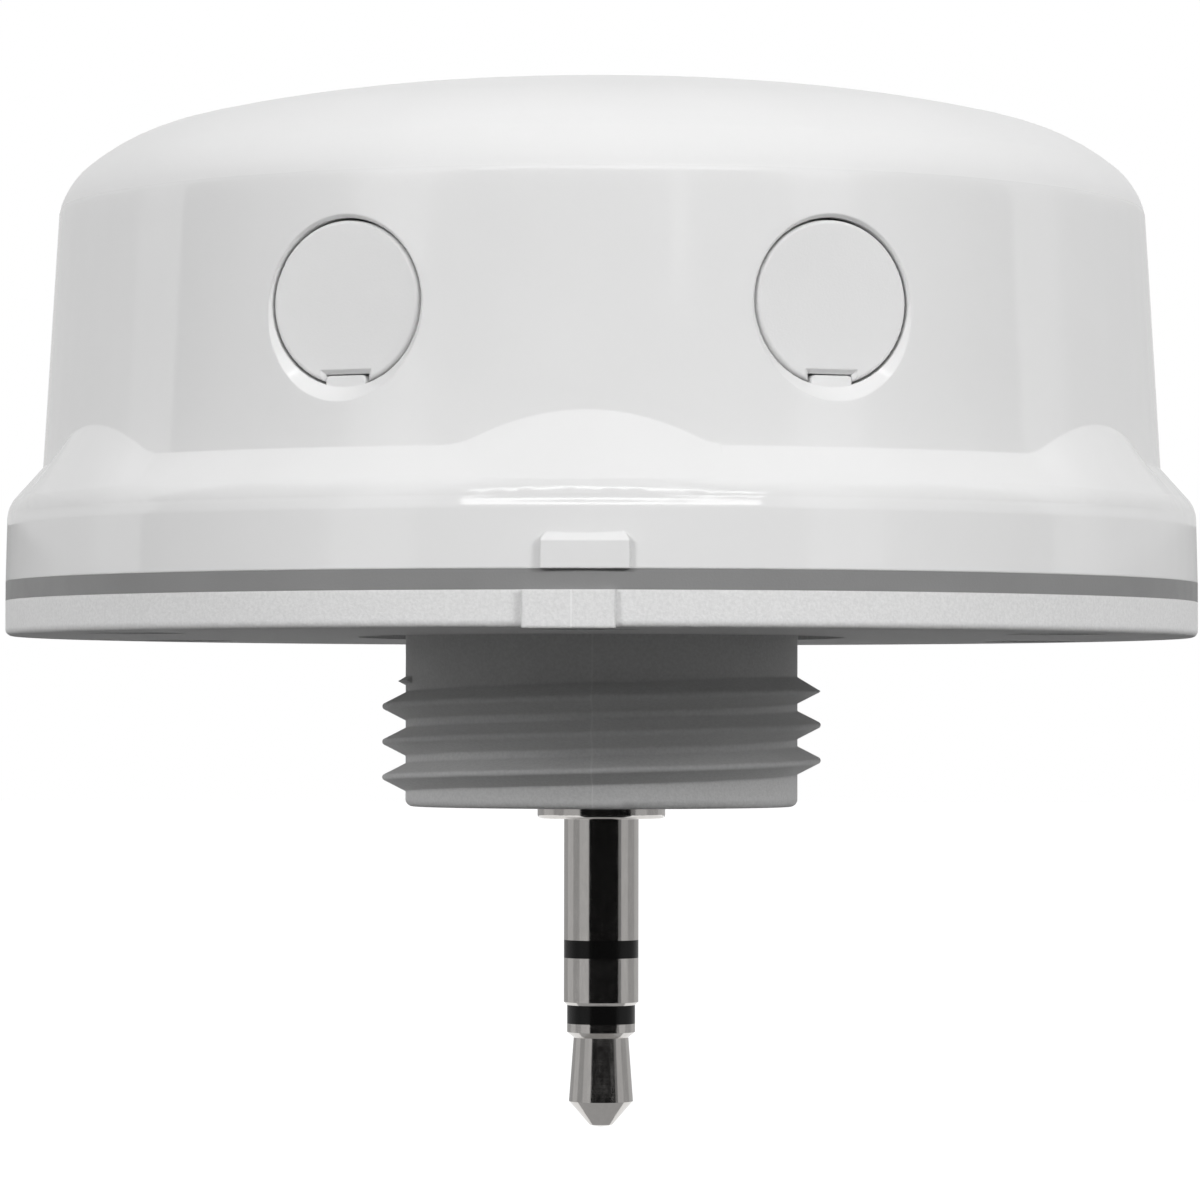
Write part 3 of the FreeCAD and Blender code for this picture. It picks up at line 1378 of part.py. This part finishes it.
def make_trimmer(label, azimuth):
    body = new_body(label + "_piece")
    back = trimmer_front - d.trimmer_depth
    block = new_sketch(body, label + "_outline", "XY_Plane", back)
    half = d.trimmer_width / 2
    rectangle(block, -half, -d.trimmer_axis_height, half, d.trimmer_height - d.trimmer_axis_height)
    pad(body, label + "_block", block, d.trimmer_depth)
    socket = new_sketch(body, label + "_socket_outline", "XY_Plane", trimmer_front - d.rotor_socket_depth)
    circle(socket, d.rotor_radius + d.rotor_clearance)
    pocket(body, label + "_socket", socket, d.rotor_socket_depth)
    return keep(sideways(body, azimuth), label)


def make_rotor(label, azimuth):
    body = new_body(label + "_piece")
    low = trimmer_front - d.rotor_socket_depth + d.rotor_clearance
    corners = [(0, low), (d.rotor_radius, low), (d.rotor_radius, rotor_face), (0, rotor_face)]
    revolve(body, label + "_turn", corners)
    for turn, letter in ((0, "a"), (90, "b")):
        slot = new_sketch(body, f"{label}_slot_{letter}", "XY_Plane", rotor_face - d.rotor_slot_depth, turn)
        half = d.rotor_slot_width / 2
        reach = d.rotor_slot_length / 2
        rectangle(slot, -reach, -half, reach, half)
        pocket(body, f"{label}_cut_{letter}", slot, d.rotor_slot_depth)
    return keep(sideways(body, azimuth), label)


def make_settings():
    for setting, azimuth in (("sensitivity", -d.cap_azimuth), ("hold_time", d.cap_azimuth)):
        make_cap(setting + "_cap", azimuth)
        make_seal(setting + "_cap_seal", azimuth)
        make_trimmer(setting + "_trimmer", azimuth)
        make_rotor(setting + "_rotor", azimuth)


def build():
    make_dome_cover()
    make_gasket()
    make_base_plate()
    make_housing_screws()
    make_plug_sleeve()
    make_rear_insulator()
    make_plug_ring()
    make_front_insulator()
    make_plug_tip()
    make_plug_carrier()
    make_lugs()
    make_leads()
    make_lead_connector()
    make_main_board()
    make_board_screws()
    make_board_parts()
    make_radar_board()
    make_radar_parts()
    make_radar_screws()
    make_settings()
    doc.recompute()


def check():
    """Stop if any object failed or any piece is not a sound shape."""
    for item in doc.Objects:
        if "Invalid" in item.State or "Error" in item.State:
            raise RuntimeError(f"{item.Name} failed")
    for item in nodes:
        if item.Shape.isNull() or not item.Shape.isValid():
            raise RuntimeError(f"{item.Label} is not a valid shape")


def export():
    os.makedirs("parts", exist_ok=True)
    for item in nodes:
        item.Shape.exportStep(f"parts/{item.Label}.step")
        print(f"{item.Label}: {len(item.Shape.Solids)} solids, volume {item.Shape.Volume:.2f}")


build()
check()
export()
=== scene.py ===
import json
import math

import bpy
from mathutils import Euler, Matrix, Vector

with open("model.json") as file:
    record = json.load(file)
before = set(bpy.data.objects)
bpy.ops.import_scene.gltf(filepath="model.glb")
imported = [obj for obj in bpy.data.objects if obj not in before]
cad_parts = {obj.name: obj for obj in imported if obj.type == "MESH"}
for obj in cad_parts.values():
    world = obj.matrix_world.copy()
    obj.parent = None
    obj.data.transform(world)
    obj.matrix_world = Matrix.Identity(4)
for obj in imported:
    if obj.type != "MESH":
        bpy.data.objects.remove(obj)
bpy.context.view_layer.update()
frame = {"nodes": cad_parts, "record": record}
nodes = frame["nodes"]
scene = bpy.context.scene

MM = 0.001
WHITE = (1, 1, 1, 1)

# Camera: its distance from the housing's axis, its height and its small turns
CAMERA_DISTANCE = 270 * MM
CAMERA_HEIGHT = -3.95 * MM
CAMERA_AZIMUTH = math.radians(1.45)
CAMERA_PITCH = math.radians(1.212)
CAMERA_ROLL = math.radians(-0.08)
CAMERA_AIM = math.radians(0.015)
CAMERA_LENS = 172.4
SENSOR_WIDTH = 36.0
CLIP_START = 0.01
CLIP_END = 20


# Materials: heights, widths and depths are in mm
EDGE_SAMPLES = 4
TONE_SIZE = 6.0
FINISH_SIZE = 1.2

# The cover is glossy up to its wall's top and satin on the dome above it
SATIN_START = 19.4
SATIN_FULL = 20.2
SATIN_ROUGHNESS = 0.4

# The crease between the wall and the dome shows soft, this far to each side
CREASE_HEIGHT = 19.62
CREASE_REACH = 0.8
CREASE_DEPTH = 0.029

# The soft roll by which the skirt goes over into its upper fillet
ROLL_START = 5.05
ROLL_END = 5.65
ROLL_DEPTH = 0.092

# The base's speckle, and the line its mould's two halves leave on the front, with a painted
# highlight
SPECKLE_SIZE = 0.14
SPECKLE_CHANGE = 0.05
PARTING_AZIMUTH = math.radians(-1.2)
PARTING_HALF = 0.06
PARTING_DEPTH = 0.01
PARTING_HIGHLIGHT_SHARE = 0.45
PARTING_HIGHLIGHT_COLOR = (0.98, 0.98, 0.98)

# The rings that turning leaves on metal, and the boards' tracks
RING_HEIGHT = 0.06
RING_DEPTH = 0.0006
TRACK_CELL = 6.0
TRACK_DEPTH = 0.012
TRACK_SHARE = 0.8


class Tree:
    """The node tree of a material or of the world, with short ways to add to it."""

    def __init__(self, owner):
        owner.use_nodes = True
        self.nodes = owner.node_tree.nodes
        self.links = owner.node_tree.links

    def add(self, kind, sockets=None, **settings):
        """A new node, whose sockets take another node's output or a plain value."""
        node = self.nodes.new("ShaderNode" + kind)
        for setting, value in settings.items():
            setattr(node, setting, value)
        for socket, value in (sockets or {}).items():
            if isinstance(value, bpy.types.NodeSocket):
                self.links.new(value, node.inputs[socket])
            else:
                node.inputs[socket].default_value = value
        return node

    def math(self, operation, *values):
        return self.add("Math", dict(enumerate(values)), operation=operation).outputs[0]

    def spread(self, value, low, high, start=0.3, end=0.7, **settings):
        """Map start to end, where most noise lies, to a range, and stay inside it."""
        sockets = {"Value": value, "From Min": start, "From Max": end, "To Min": low,
                   "To Max": high}
        return self.add("MapRange", sockets, **settings).outputs[0]

    def rays_that_see(self):
        """1 for the rays that show the background: the camera's, and those of gloss and glass."""
        path = self.add("LightPath").outputs
        seen = self.math("MAXIMUM", path["Is Camera Ray"], path["Is Glossy Ray"])
        return self.math("MAXIMUM", seen, path["Is Transmission Ray"])

    def show(self, shader, output="Material Output"):
        self.links.new(shader.outputs[0], self.nodes[output].inputs["Surface"])


class Shader(Tree):
    """A material with one Principled shader and patterns for its colour, finish and relief."""

    def __init__(self, name, color, roughness, **sockets):
        self.material = bpy.data.materials.new(name)
        super().__init__(self.material)
        self.surface = self.nodes["Principled BSDF"]
        self.surface.inputs["Base Color"].default_value = (*color, 1)
        self.surface.inputs["Roughness"].default_value = roughness
        for socket, value in sockets.items():
            self.surface.inputs[socket.replace("_", " ")].default_value = value
        self.color = color
        self.roughness = roughness
        self.place = self.add("TexCoord").outputs["Object"]

    def axes(self):
        return self.add("SeparateXYZ", {"Vector": self.place}).outputs

    def stretched(self, x, y, z):
        """The place on the piece with each axis scaled."""
        return self.add("Mapping", {"Vector": self.place, "Scale": (x, y, z)}).outputs[0]

    def noise(self, size_mm, detail=3.0, roughness=0.5, place=None):
        """Noise whose blotches are about as large as the size."""
        sockets = {"Vector": place or self.place, "Scale": 1 / (size_mm * MM), "Detail": detail,
                   "Roughness": roughness}
        return self.add("TexNoise", sockets).outputs["Fac"]

    def mixed(self, share, one, two):
        """Mix two colours by a share."""
        one, two = (color if isinstance(color, bpy.types.NodeSocket) else (*color, 1)
                    for color in (one, two))
        return self.add("Mix", {0: share, 6: one, 7: two}, data_type="RGBA").outputs[2]

    def shades(self, change):
        """The colour a little darker and a little lighter."""
        return [tuple(c * level for c in self.color) for level in (1 - change, 1 + change)]

    def tint(self, pattern, change):
        """Vary the colour with a pattern."""
        self.use_color(self.mixed(self.spread(pattern, 0, 1), *self.shades(change)))

    def uneven(self, low=0.9, high=1.1, pattern=None):
        """The roughness, varied from a low to a high share of it with a pattern."""
        pattern = pattern or self.noise(FINISH_SIZE, detail=4.0)
        return self.spread(pattern, self.roughness * low, self.roughness * high)

    def use_color(self, socket):
        self.links.new(socket, self.surface.inputs["Base Color"])

    def use_roughness(self, socket):
        self.links.new(socket, self.surface.inputs["Roughness"])

    def grain(self, size_mm, depth_mm):
        """A layer of fine relief for bump."""
        return self.noise(size_mm, detail=4.0, roughness=0.6), depth_mm

    def wave(self, size_mm, depth_mm):
        """A layer of slow relief for bump."""
        return self.noise(size_mm, detail=1.0), depth_mm

    def bump(self, *layers, edge_mm=0.0):
        """Relief from (height pattern, depth in mm) layers, with edges softened to a radius."""
        normal = None
        if edge_mm:
            bevel = self.add("Bevel", {"Radius": edge_mm * MM}, samples=EDGE_SAMPLES)
            normal = bevel.outputs["Normal"]
        for pattern, depth_mm in layers:
            sockets = {"Height": pattern, "Distance": depth_mm * MM, "Strength": 1.0}
            if normal is not None:
                sockets["Normal"] = normal
            normal = self.add("Bump", sockets).outputs["Normal"]
        self.links.new(normal, self.surface.inputs["Normal"])

    def parting_line(self):
        """1 on the thin upright line that the mould leaves on the front, 0 beside it."""
        axes = self.axes()
        across = self.math("ADD", self.math("MULTIPLY", axes["X"], math.cos(PARTING_AZIMUTH)),
                           self.math("MULTIPLY", axes["Y"], math.sin(PARTING_AZIMUTH)))
        line = self.spread(self.math("ABSOLUTE", across), 1.0, 0.0, 0.0, PARTING_HALF * MM)
        return self.math("MULTIPLY", line, self.math("LESS_THAN", axes["Y"], 0.0))


def moulded(name, color, roughness, grain_mm=0.08, grain_depth=0.002, wave_mm=2.5,
            wave_depth=0.0, change=0.012, edge_mm=0.0, **sockets):
    """Moulded plastic: a fine grain, a slow wave of the surface and a slight change of tone."""
    shader = Shader(name, color, roughness, **sockets)
    shader.tint(shader.noise(TONE_SIZE), change)
    shader.use_roughness(shader.uneven())
    shader.bump(shader.grain(grain_mm, grain_depth), shader.wave(wave_mm, wave_depth),
                edge_mm=edge_mm)
    return shader.material


def cover_plastic(name, color, roughness):
    """Gloss plastic with a satin dome, a soft crease below it and a soft roll into the skirt."""
    shader = Shader(name, color, roughness)
    shader.tint(shader.noise(TONE_SIZE), change=0.01)
    height = shader.axes()["Z"]
    satin = shader.spread(height, 0.0, SATIN_ROUGHNESS, SATIN_START * MM, SATIN_FULL * MM)
    shader.use_roughness(shader.math("ADD", shader.uneven(), satin))
    roll = shader.spread(height, 1.0, 0.0, ROLL_START * MM, ROLL_END * MM,
                         interpolation_type="SMOOTHSTEP")
    beside = shader.math("ABSOLUTE", shader.math("SUBTRACT", height, CREASE_HEIGHT * MM))
    near = shader.spread(beside, 1.0, 0.0, 0.0, CREASE_REACH * MM)
    soft = shader.math("SUBTRACT", 1.0, shader.math("MULTIPLY", near, near))
    shader.bump(shader.grain(size_mm=0.15, depth_mm=0.0006),
                shader.wave(size_mm=3.0, depth_mm=0.003),
                (roll, ROLL_DEPTH), (soft, CREASE_DEPTH), edge_mm=0.12)
    return shader.material


def textured_plastic(name, color, roughness):
    """Spark-textured plastic with a fine even speckle and a painted highlight on the mould's
    front line.
    """
    shader = Shader(name, color, roughness, Specular_IOR_Level=0.15)
    speckle = shader.spread(shader.noise(SPECKLE_SIZE, roughness=0.6), 0, 1, 0.35, 0.65)
    spotted = shader.mixed(speckle, *shader.shades(SPECKLE_CHANGE))
    line = shader.parting_line()
    # The mould's line is raised slightly in relief and painted lighter: a painted highlight along
    # it
    highlight_share = shader.math("MULTIPLY", line, PARTING_HIGHLIGHT_SHARE)
    shader.use_color(shader.mixed(highlight_share, spotted, PARTING_HIGHLIGHT_COLOR))
    shader.use_roughness(shader.uneven())
    shader.bump(shader.grain(size_mm=0.12, depth_mm=0.014),
                shader.wave(size_mm=2.0, depth_mm=0.003),
                (line, PARTING_DEPTH), edge_mm=0.2)
    return shader.material


def turned_metal(name, color, roughness):
    """Turned and plated metal: fine rings round the plug's axis and faint scuffs along it."""
    shader = Shader(name, color, roughness, Metallic=1.0)
    rings = shader.noise(1.0, detail=2.0, place=shader.stretched(0.15, 0.15, 1 / RING_HEIGHT))
    scuffs = shader.noise(0.25, detail=5.0, roughness=0.65, place=shader.stretched(1, 1, 0.3))
    shader.tint(scuffs, change=0.04)
    shader.use_roughness(shader.uneven(0.75, 1.35, scuffs))
    shader.bump((rings, RING_DEPTH), (shader.noise(0.05), RING_DEPTH))
    return shader.material


def plated_steel(name, color, roughness):
    """Zinc-plated or tinned sheet and screws, lightly grained along one way."""
    shader = Shader(name, color, roughness, Metallic=1.0)
    grain = shader.noise(0.05, detail=4.0, place=shader.stretched(1, 0.1, 1))
    shader.tint(shader.noise(0.8), change=0.05)
    shader.use_roughness(shader.uneven(0.8, 1.25, grain))
    shader.bump((grain, 0.001))
    return shader.material


def solder_mask(name, mask, trace):
    """A board: solder mask with tracks under it and a fine weave."""
    shader = Shader(name, mask, roughness=0.28, Coat_Weight=0.3)
    tracks = shader.add("TexBrick", {
        "Vector": shader.place, "Scale": 1 / (TRACK_CELL * MM), "Mortar Size": 0.035,
        "Mortar Smooth": 0.2, "Brick Width": 0.55, "Row Height": 0.2,
        "Color1": (0, 0, 0, 1), "Color2": (0, 0, 0, 1), "Mortar": WHITE,
    }, offset=0.37).outputs["Color"]
    track_share = shader.math("MULTIPLY", tracks, TRACK_SHARE)
    shader.use_color(shader.mixed(track_share, mask, trace))
    shader.use_roughness(shader.spread(shader.noise(3.0), low=0.24, high=0.34))
    weave = shader.noise(0.3, detail=2.0)
    shader.bump((tracks, TRACK_DEPTH), (weave, 0.002))
    return shader.material


def cast_part(name, color, roughness, grain_mm, grain_depth):
    """Ferrite, ceramic or epoxy: a coarse body with speckles."""
    shader = Shader(name, color, roughness)
    shader.tint(shader.noise(grain_mm * 2, detail=5.0, roughness=0.7), change=0.08)
    shader.use_roughness(shader.uneven(0.85, 1.15, shader.noise(0.6)))
    shader.bump((shader.noise(grain_mm, detail=4.0), grain_depth))
    return shader.material


MATERIALS = {
    "cover_white": cover_plastic("cover_gloss_white", (0.80, 0.80, 0.80), 0.06),
    "base_white": textured_plastic("base_textured_white", (0.76, 0.76, 0.76), 0.65),
    "cap_white": moulded("cap_matte_white", (0.78, 0.78, 0.78), 0.42, grain_mm=0.1,
                         grain_depth=0.006, wave_mm=2.0, wave_depth=0.002, edge_mm=0.1),
    "gasket_grey": moulded("gasket_silicone_grey", (0.24, 0.24, 0.24), 0.55, grain_mm=0.1,
                           grain_depth=0.008, wave_mm=1.5, wave_depth=0.01, change=0.06),
    "seal_rubber": moulded("seal_nitrile_black", (0.02, 0.02, 0.02), 0.45, grain_mm=0.06,
                           grain_depth=0.004, change=0.1),
    "screw_steel": plated_steel("screw_zinc", (0.62, 0.63, 0.64), 0.32),
    "plug_nickel": turned_metal("plug_nickel", (0.66, 0.64, 0.62), 0.1),
    "plug_black": moulded("plug_band_black", (0.004, 0.004, 0.004), 0.2, grain_mm=0.05,
                          grain_depth=0.001, change=0.1, Specular_IOR_Level=0.2),
    "carrier_plastic": moulded("carrier_black", (0.03, 0.03, 0.03), 0.5, grain_depth=0.006,
                               change=0.1),
    "lug_brass": turned_metal("lug_tinned_brass", (0.74, 0.66, 0.5), 0.3),
    "lead_black": moulded("lead_black_insulation", (0.02, 0.02, 0.02), 0.4, change=0.1),
    "lead_white": moulded("lead_white_insulation", (0.78, 0.78, 0.76), 0.4, change=0.03),
    "lead_red": moulded("lead_red_insulation", (0.42, 0.02, 0.015), 0.4, change=0.06),
    "header_plastic": moulded("header_black", (0.02, 0.02, 0.022), 0.5, grain_depth=0.004,
                              change=0.1),
    "connector_plastic": moulded("connector_cream", (0.74, 0.7, 0.6), 0.45, grain_depth=0.004,
                                 change=0.04),
    "board_green": solder_mask("board_green_mask", (0.012, 0.09, 0.035), (0.03, 0.17, 0.07)),
    "chip_black": cast_part("chip_epoxy_black", (0.02, 0.02, 0.022), 0.5, 0.06, 0.004),
    "capacitor_aluminium": plated_steel("capacitor_can_aluminium", (0.78, 0.78, 0.79), 0.25),
    "inductor_ferrite": cast_part("inductor_ferrite_grey", (0.06, 0.06, 0.062), 0.6, 0.1, 0.01),
    "ceramic_tan": cast_part("ceramic_capacitor_tan", (0.32, 0.2, 0.1), 0.45, 0.05, 0.002),
    "resistor_ceramic": cast_part("resistor_coated_black", (0.02, 0.02, 0.022), 0.35, 0.05,
                                  0.002),
    "led_lens": moulded("led_clear_red", (0.6, 0.05, 0.04), 0.1, change=0.05,
                        Transmission_Weight=0.4),
    "sensor_lens": moulded("sensor_clear_lens", (0.7, 0.74, 0.78), 0.1, change=0.03,
                           Transmission_Weight=0.5),
    "antenna_copper": turned_metal("antenna_gold_flash", (0.83, 0.62, 0.28), 0.3),
    "shield_tin": plated_steel("shield_tin_plate", (0.7, 0.7, 0.7), 0.3),
    "spacer_nylon": moulded("spacer_nylon_natural", (0.76, 0.74, 0.66), 0.4, change=0.03,
                            Subsurface_Weight=0.2),
    "pin_brass": turned_metal("pin_gold_flash", (0.83, 0.65, 0.33), 0.25),
    "trimmer_blue": moulded("trimmer_blue", (0.02, 0.09, 0.32), 0.45, grain_depth=0.004,
                            change=0.06),
    "rotor_white": moulded("rotor_white", (0.76, 0.76, 0.72), 0.45, grain_depth=0.004,
                           change=0.03),
}

slot_of = {part["node"]: part["material_slot"] for part in frame["record"]["subparts"]}
for name, piece in nodes.items():
    piece.data.materials.clear()
    piece.data.materials.append(MATERIALS[slot_of[name]])


# Stage: sizes in metres, and the floor's radii where its shade ends and where it is all white
FLOOR_HEIGHT = -50 * MM
FLOOR_HALF = 3.0
FLOOR_LIT = 0.1
FLOOR_ROUGHNESS = 0.9
FLOOR_SHADE_END = 0.12
FLOOR_WHITE_FROM = 0.3
WORLD_FRONT = 0.01
WORLD_BACK = 0.68
CARD_STEP = 6
CARD_FLOOR = FLOOR_HEIGHT + 1 * MM
LAMP_DISTANCE = 0.9
LAMP_AIM = Vector((0, 0, 12 * MM))


def stage_mesh(name, places, faces, material):
    mesh = bpy.data.meshes.new(name)
    mesh.from_pydata(places, [], faces)
    mesh.materials.append(material)
    item = bpy.data.objects.new(name, mesh)
    scene.collection.objects.link(item)
    return item


# The floor is pale and lit, so it keeps the shadow near the object, and shows white further out
floor_look = Shader("floor_pale", (FLOOR_LIT,) * 3, FLOOR_ROUGHNESS, Specular_IOR_Level=0.1)
floor_length = floor_look.add("VectorMath", {0: floor_look.place}, operation="LENGTH")
floor_white = floor_look.spread(floor_length.outputs["Value"], 1 - FLOOR_LIT, 1.0,
                                FLOOR_SHADE_END, FLOOR_WHITE_FROM)
floor_seen = floor_look.math("MULTIPLY", floor_look.rays_that_see(), floor_white)
floor_glow = floor_look.add("Emission", {"Strength": floor_seen})
floor_both = {0: floor_look.surface.outputs[0], 1: floor_glow.outputs[0]}
floor_look.show(floor_look.add("AddShader", floor_both))
floor_corners = [(x * FLOOR_HALF, y * FLOOR_HALF, 0)
                 for x, y in ((-1, -1), (1, -1), (1, 1), (-1, 1))]
floor = stage_mesh("floor", floor_corners, [(0, 1, 2, 3)], floor_look.material)
floor.location.z = FLOOR_HEIGHT

# The world is white where it is seen, and lights the object more from the back than the front
world = bpy.data.worlds.new("studio")
scene.world = world
studio = Tree(world)
ambient = studio.nodes["Background"]
ambient.inputs["Color"].default_value = WHITE
direction = studio.add("SeparateXYZ", {"Vector": studio.add("TexCoord").outputs["Generated"]})
around = studio.spread(direction.outputs["Y"], WORLD_FRONT, WORLD_BACK, -1, 1)
studio.links.new(around, ambient.inputs["Strength"])
seen_white = studio.add("Background", {"Color": WHITE})
world_both = {0: studio.rays_that_see(), 1: ambient.outputs[0], 2: seen_white.outputs[0]}
studio.show(studio.add("MixShader", world_both), "World Output")


def heading(azimuth, elevation):
    """The direction from the object, with 0 degrees to the front and positive to the right."""
    a, e = math.radians(azimuth), math.radians(elevation)
    return Vector((math.sin(a) * math.cos(e), -math.cos(a) * math.cos(e), math.sin(e)))


def reflection_card(name, radius, sides, heights, level):
    """A card on a sphere round the object that only gloss shows, as studio cards do.

    sides and heights are its first and last azimuth and elevation in degrees. Where it would
    reach through the floor, it lies just above it.
    """
    material = bpy.data.materials.new(name)
    tree = Tree(material)
    tree.show(tree.add("Emission", {"Strength": level}))
    columns = math.ceil((sides[1] - sides[0]) / CARD_STEP)
    rows = math.ceil((heights[1] - heights[0]) / CARD_STEP)
    places = []
    for row in range(rows + 1):
        for column in range(columns + 1):
            azimuth = sides[0] + (sides[1] - sides[0]) * column / columns
            elevation = heights[0] + (heights[1] - heights[0]) * row / rows
            place = heading(azimuth, elevation)
            place *= min(radius, CARD_FLOOR / place.z) if place.z < 0 else radius
            places.append(place)
    across = columns + 1
    faces = []
    for row in range(rows):
        for column in range(columns):
            corner = row * across + column
            faces.append((corner, corner + 1, corner + across + 1, corner + across))
    card = stage_mesh(name, places, faces, material)
    card.visible_camera = False
    card.visible_diffuse = False
    card.visible_transmission = False
    card.visible_volume_scatter = False
    card.visible_shadow = False


# Name, distance, azimuths, elevations and brightness of each card. The near ones shape the
# plug's upright streaks, those on the floor darken its lower side, the boxes and the strip are
# the cover's highlights, and the far ones fill the cover between them
CARDS = (
    ("card_near_front", 0.35, (-37, 56), (-8, 3.3), 0.005),
    ("card_near_right_1", 0.35, (56, 66), (-8, 3.3), 0.2),
    ("card_near_right_2", 0.35, (66, 92), (-8, 3.3), 0.5),
    ("card_near_right_3", 0.35, (92, 125), (-8, 3.3), 0.38),
    ("card_near_right_4", 0.35, (125, 180), (-8, 3.3), 0.5),
    ("card_near_left_1", 0.35, (-70, -37), (-8, 3.3), 0.5),
    ("card_near_left_2", 0.35, (-95, -70), (-8, 3.3), 0.36),
    ("card_near_left_3", 0.35, (-125, -95), (-8, 3.3), 0.52),
    ("card_near_left_4", 0.35, (-180, -125), (-8, 3.3), 0.38),
    ("card_floor_front", 0.34, (-37, 56), (-60, -8.2), 0.01),
    ("card_floor_under", 0.34, (0, 360), (-89, -60.2), 0.4),
    ("card_left_box", 1.0, (-50, -33), (2.5, 48), 0.95),
    ("card_right_box", 1.0, (40, 55), (2.5, 48), 0.85),
    ("card_strip", 1.0, (15, 19), (11.4, 40), 1.0),
    ("card_front_box", 1.0, (-26, 33), (25, 30), 6.0),
    ("card_overhead", 1.0, (-26, 33), (66.5, 70), 5.0),
    ("card_far_front", 1.2, (-95, 95), (-2.3, 50), 0.2),
    ("card_far_back", 1.2, (110, 250), (-2.3, 14), 0.7),
    ("card_far_back_high", 1.2, (110, 250), (14, 60), 0.8),
)
for card_sizes in CARDS:
    reflection_card(*card_sizes)


def area_lamp(name, azimuth, elevation, width, height, power):
    """A soft box that faces the middle of the housing."""
    lamp = bpy.data.lights.new(name, "AREA")
    lamp.shape = "RECTANGLE"
    lamp.size = width
    lamp.size_y = height
    lamp.energy = power
    item = bpy.data.objects.new(name, lamp)
    scene.collection.objects.link(item)
    back = heading(azimuth, elevation)
    item.location = back * LAMP_DISTANCE + LAMP_AIM
    item.rotation_euler = (-back).to_track_quat("-Z", "Y").to_euler()
    item.visible_glossy = False


# Name, azimuth, elevation, width, height and power of each lamp
LAMPS = (
    ("left_low", -40, 12, 0.3, 0.2, 0.77),
    ("right_low", 47, 12, 0.28, 0.2, 0.4),
    ("left_box", -40, 20.5, 0.3, 0.2, 2.71),
    ("right_box", 47, 20.5, 0.28, 0.2, 3.48),
    ("left_side", -92, 17, 0.6, 0.6, 0.74),
    ("right_side", 92, 17, 0.6, 0.6, 0.65),
    ("front_box", 4, 27, 0.9, 0.16, 1.74),
    ("back_box", 180, 50, 1.4, 0.6, 1.5),
)
for lamp_sizes in LAMPS:
    area_lamp(*lamp_sizes)

# Camera
camera_data = bpy.data.cameras.new("camera")
camera_data.sensor_width = SENSOR_WIDTH
camera_data.lens = CAMERA_LENS
camera_data.clip_start = CLIP_START
camera_data.clip_end = CLIP_END
camera = bpy.data.objects.new("camera", camera_data)
scene.collection.objects.link(camera)
camera.location = (CAMERA_DISTANCE * math.sin(CAMERA_AZIMUTH),
                   -CAMERA_DISTANCE * math.cos(CAMERA_AZIMUTH), CAMERA_HEIGHT)
camera.rotation_euler = Euler((math.pi / 2 + CAMERA_PITCH, CAMERA_ROLL,
                               CAMERA_AZIMUTH + CAMERA_AIM))
scene.camera = camera

scene.view_settings.view_transform = "Standard"
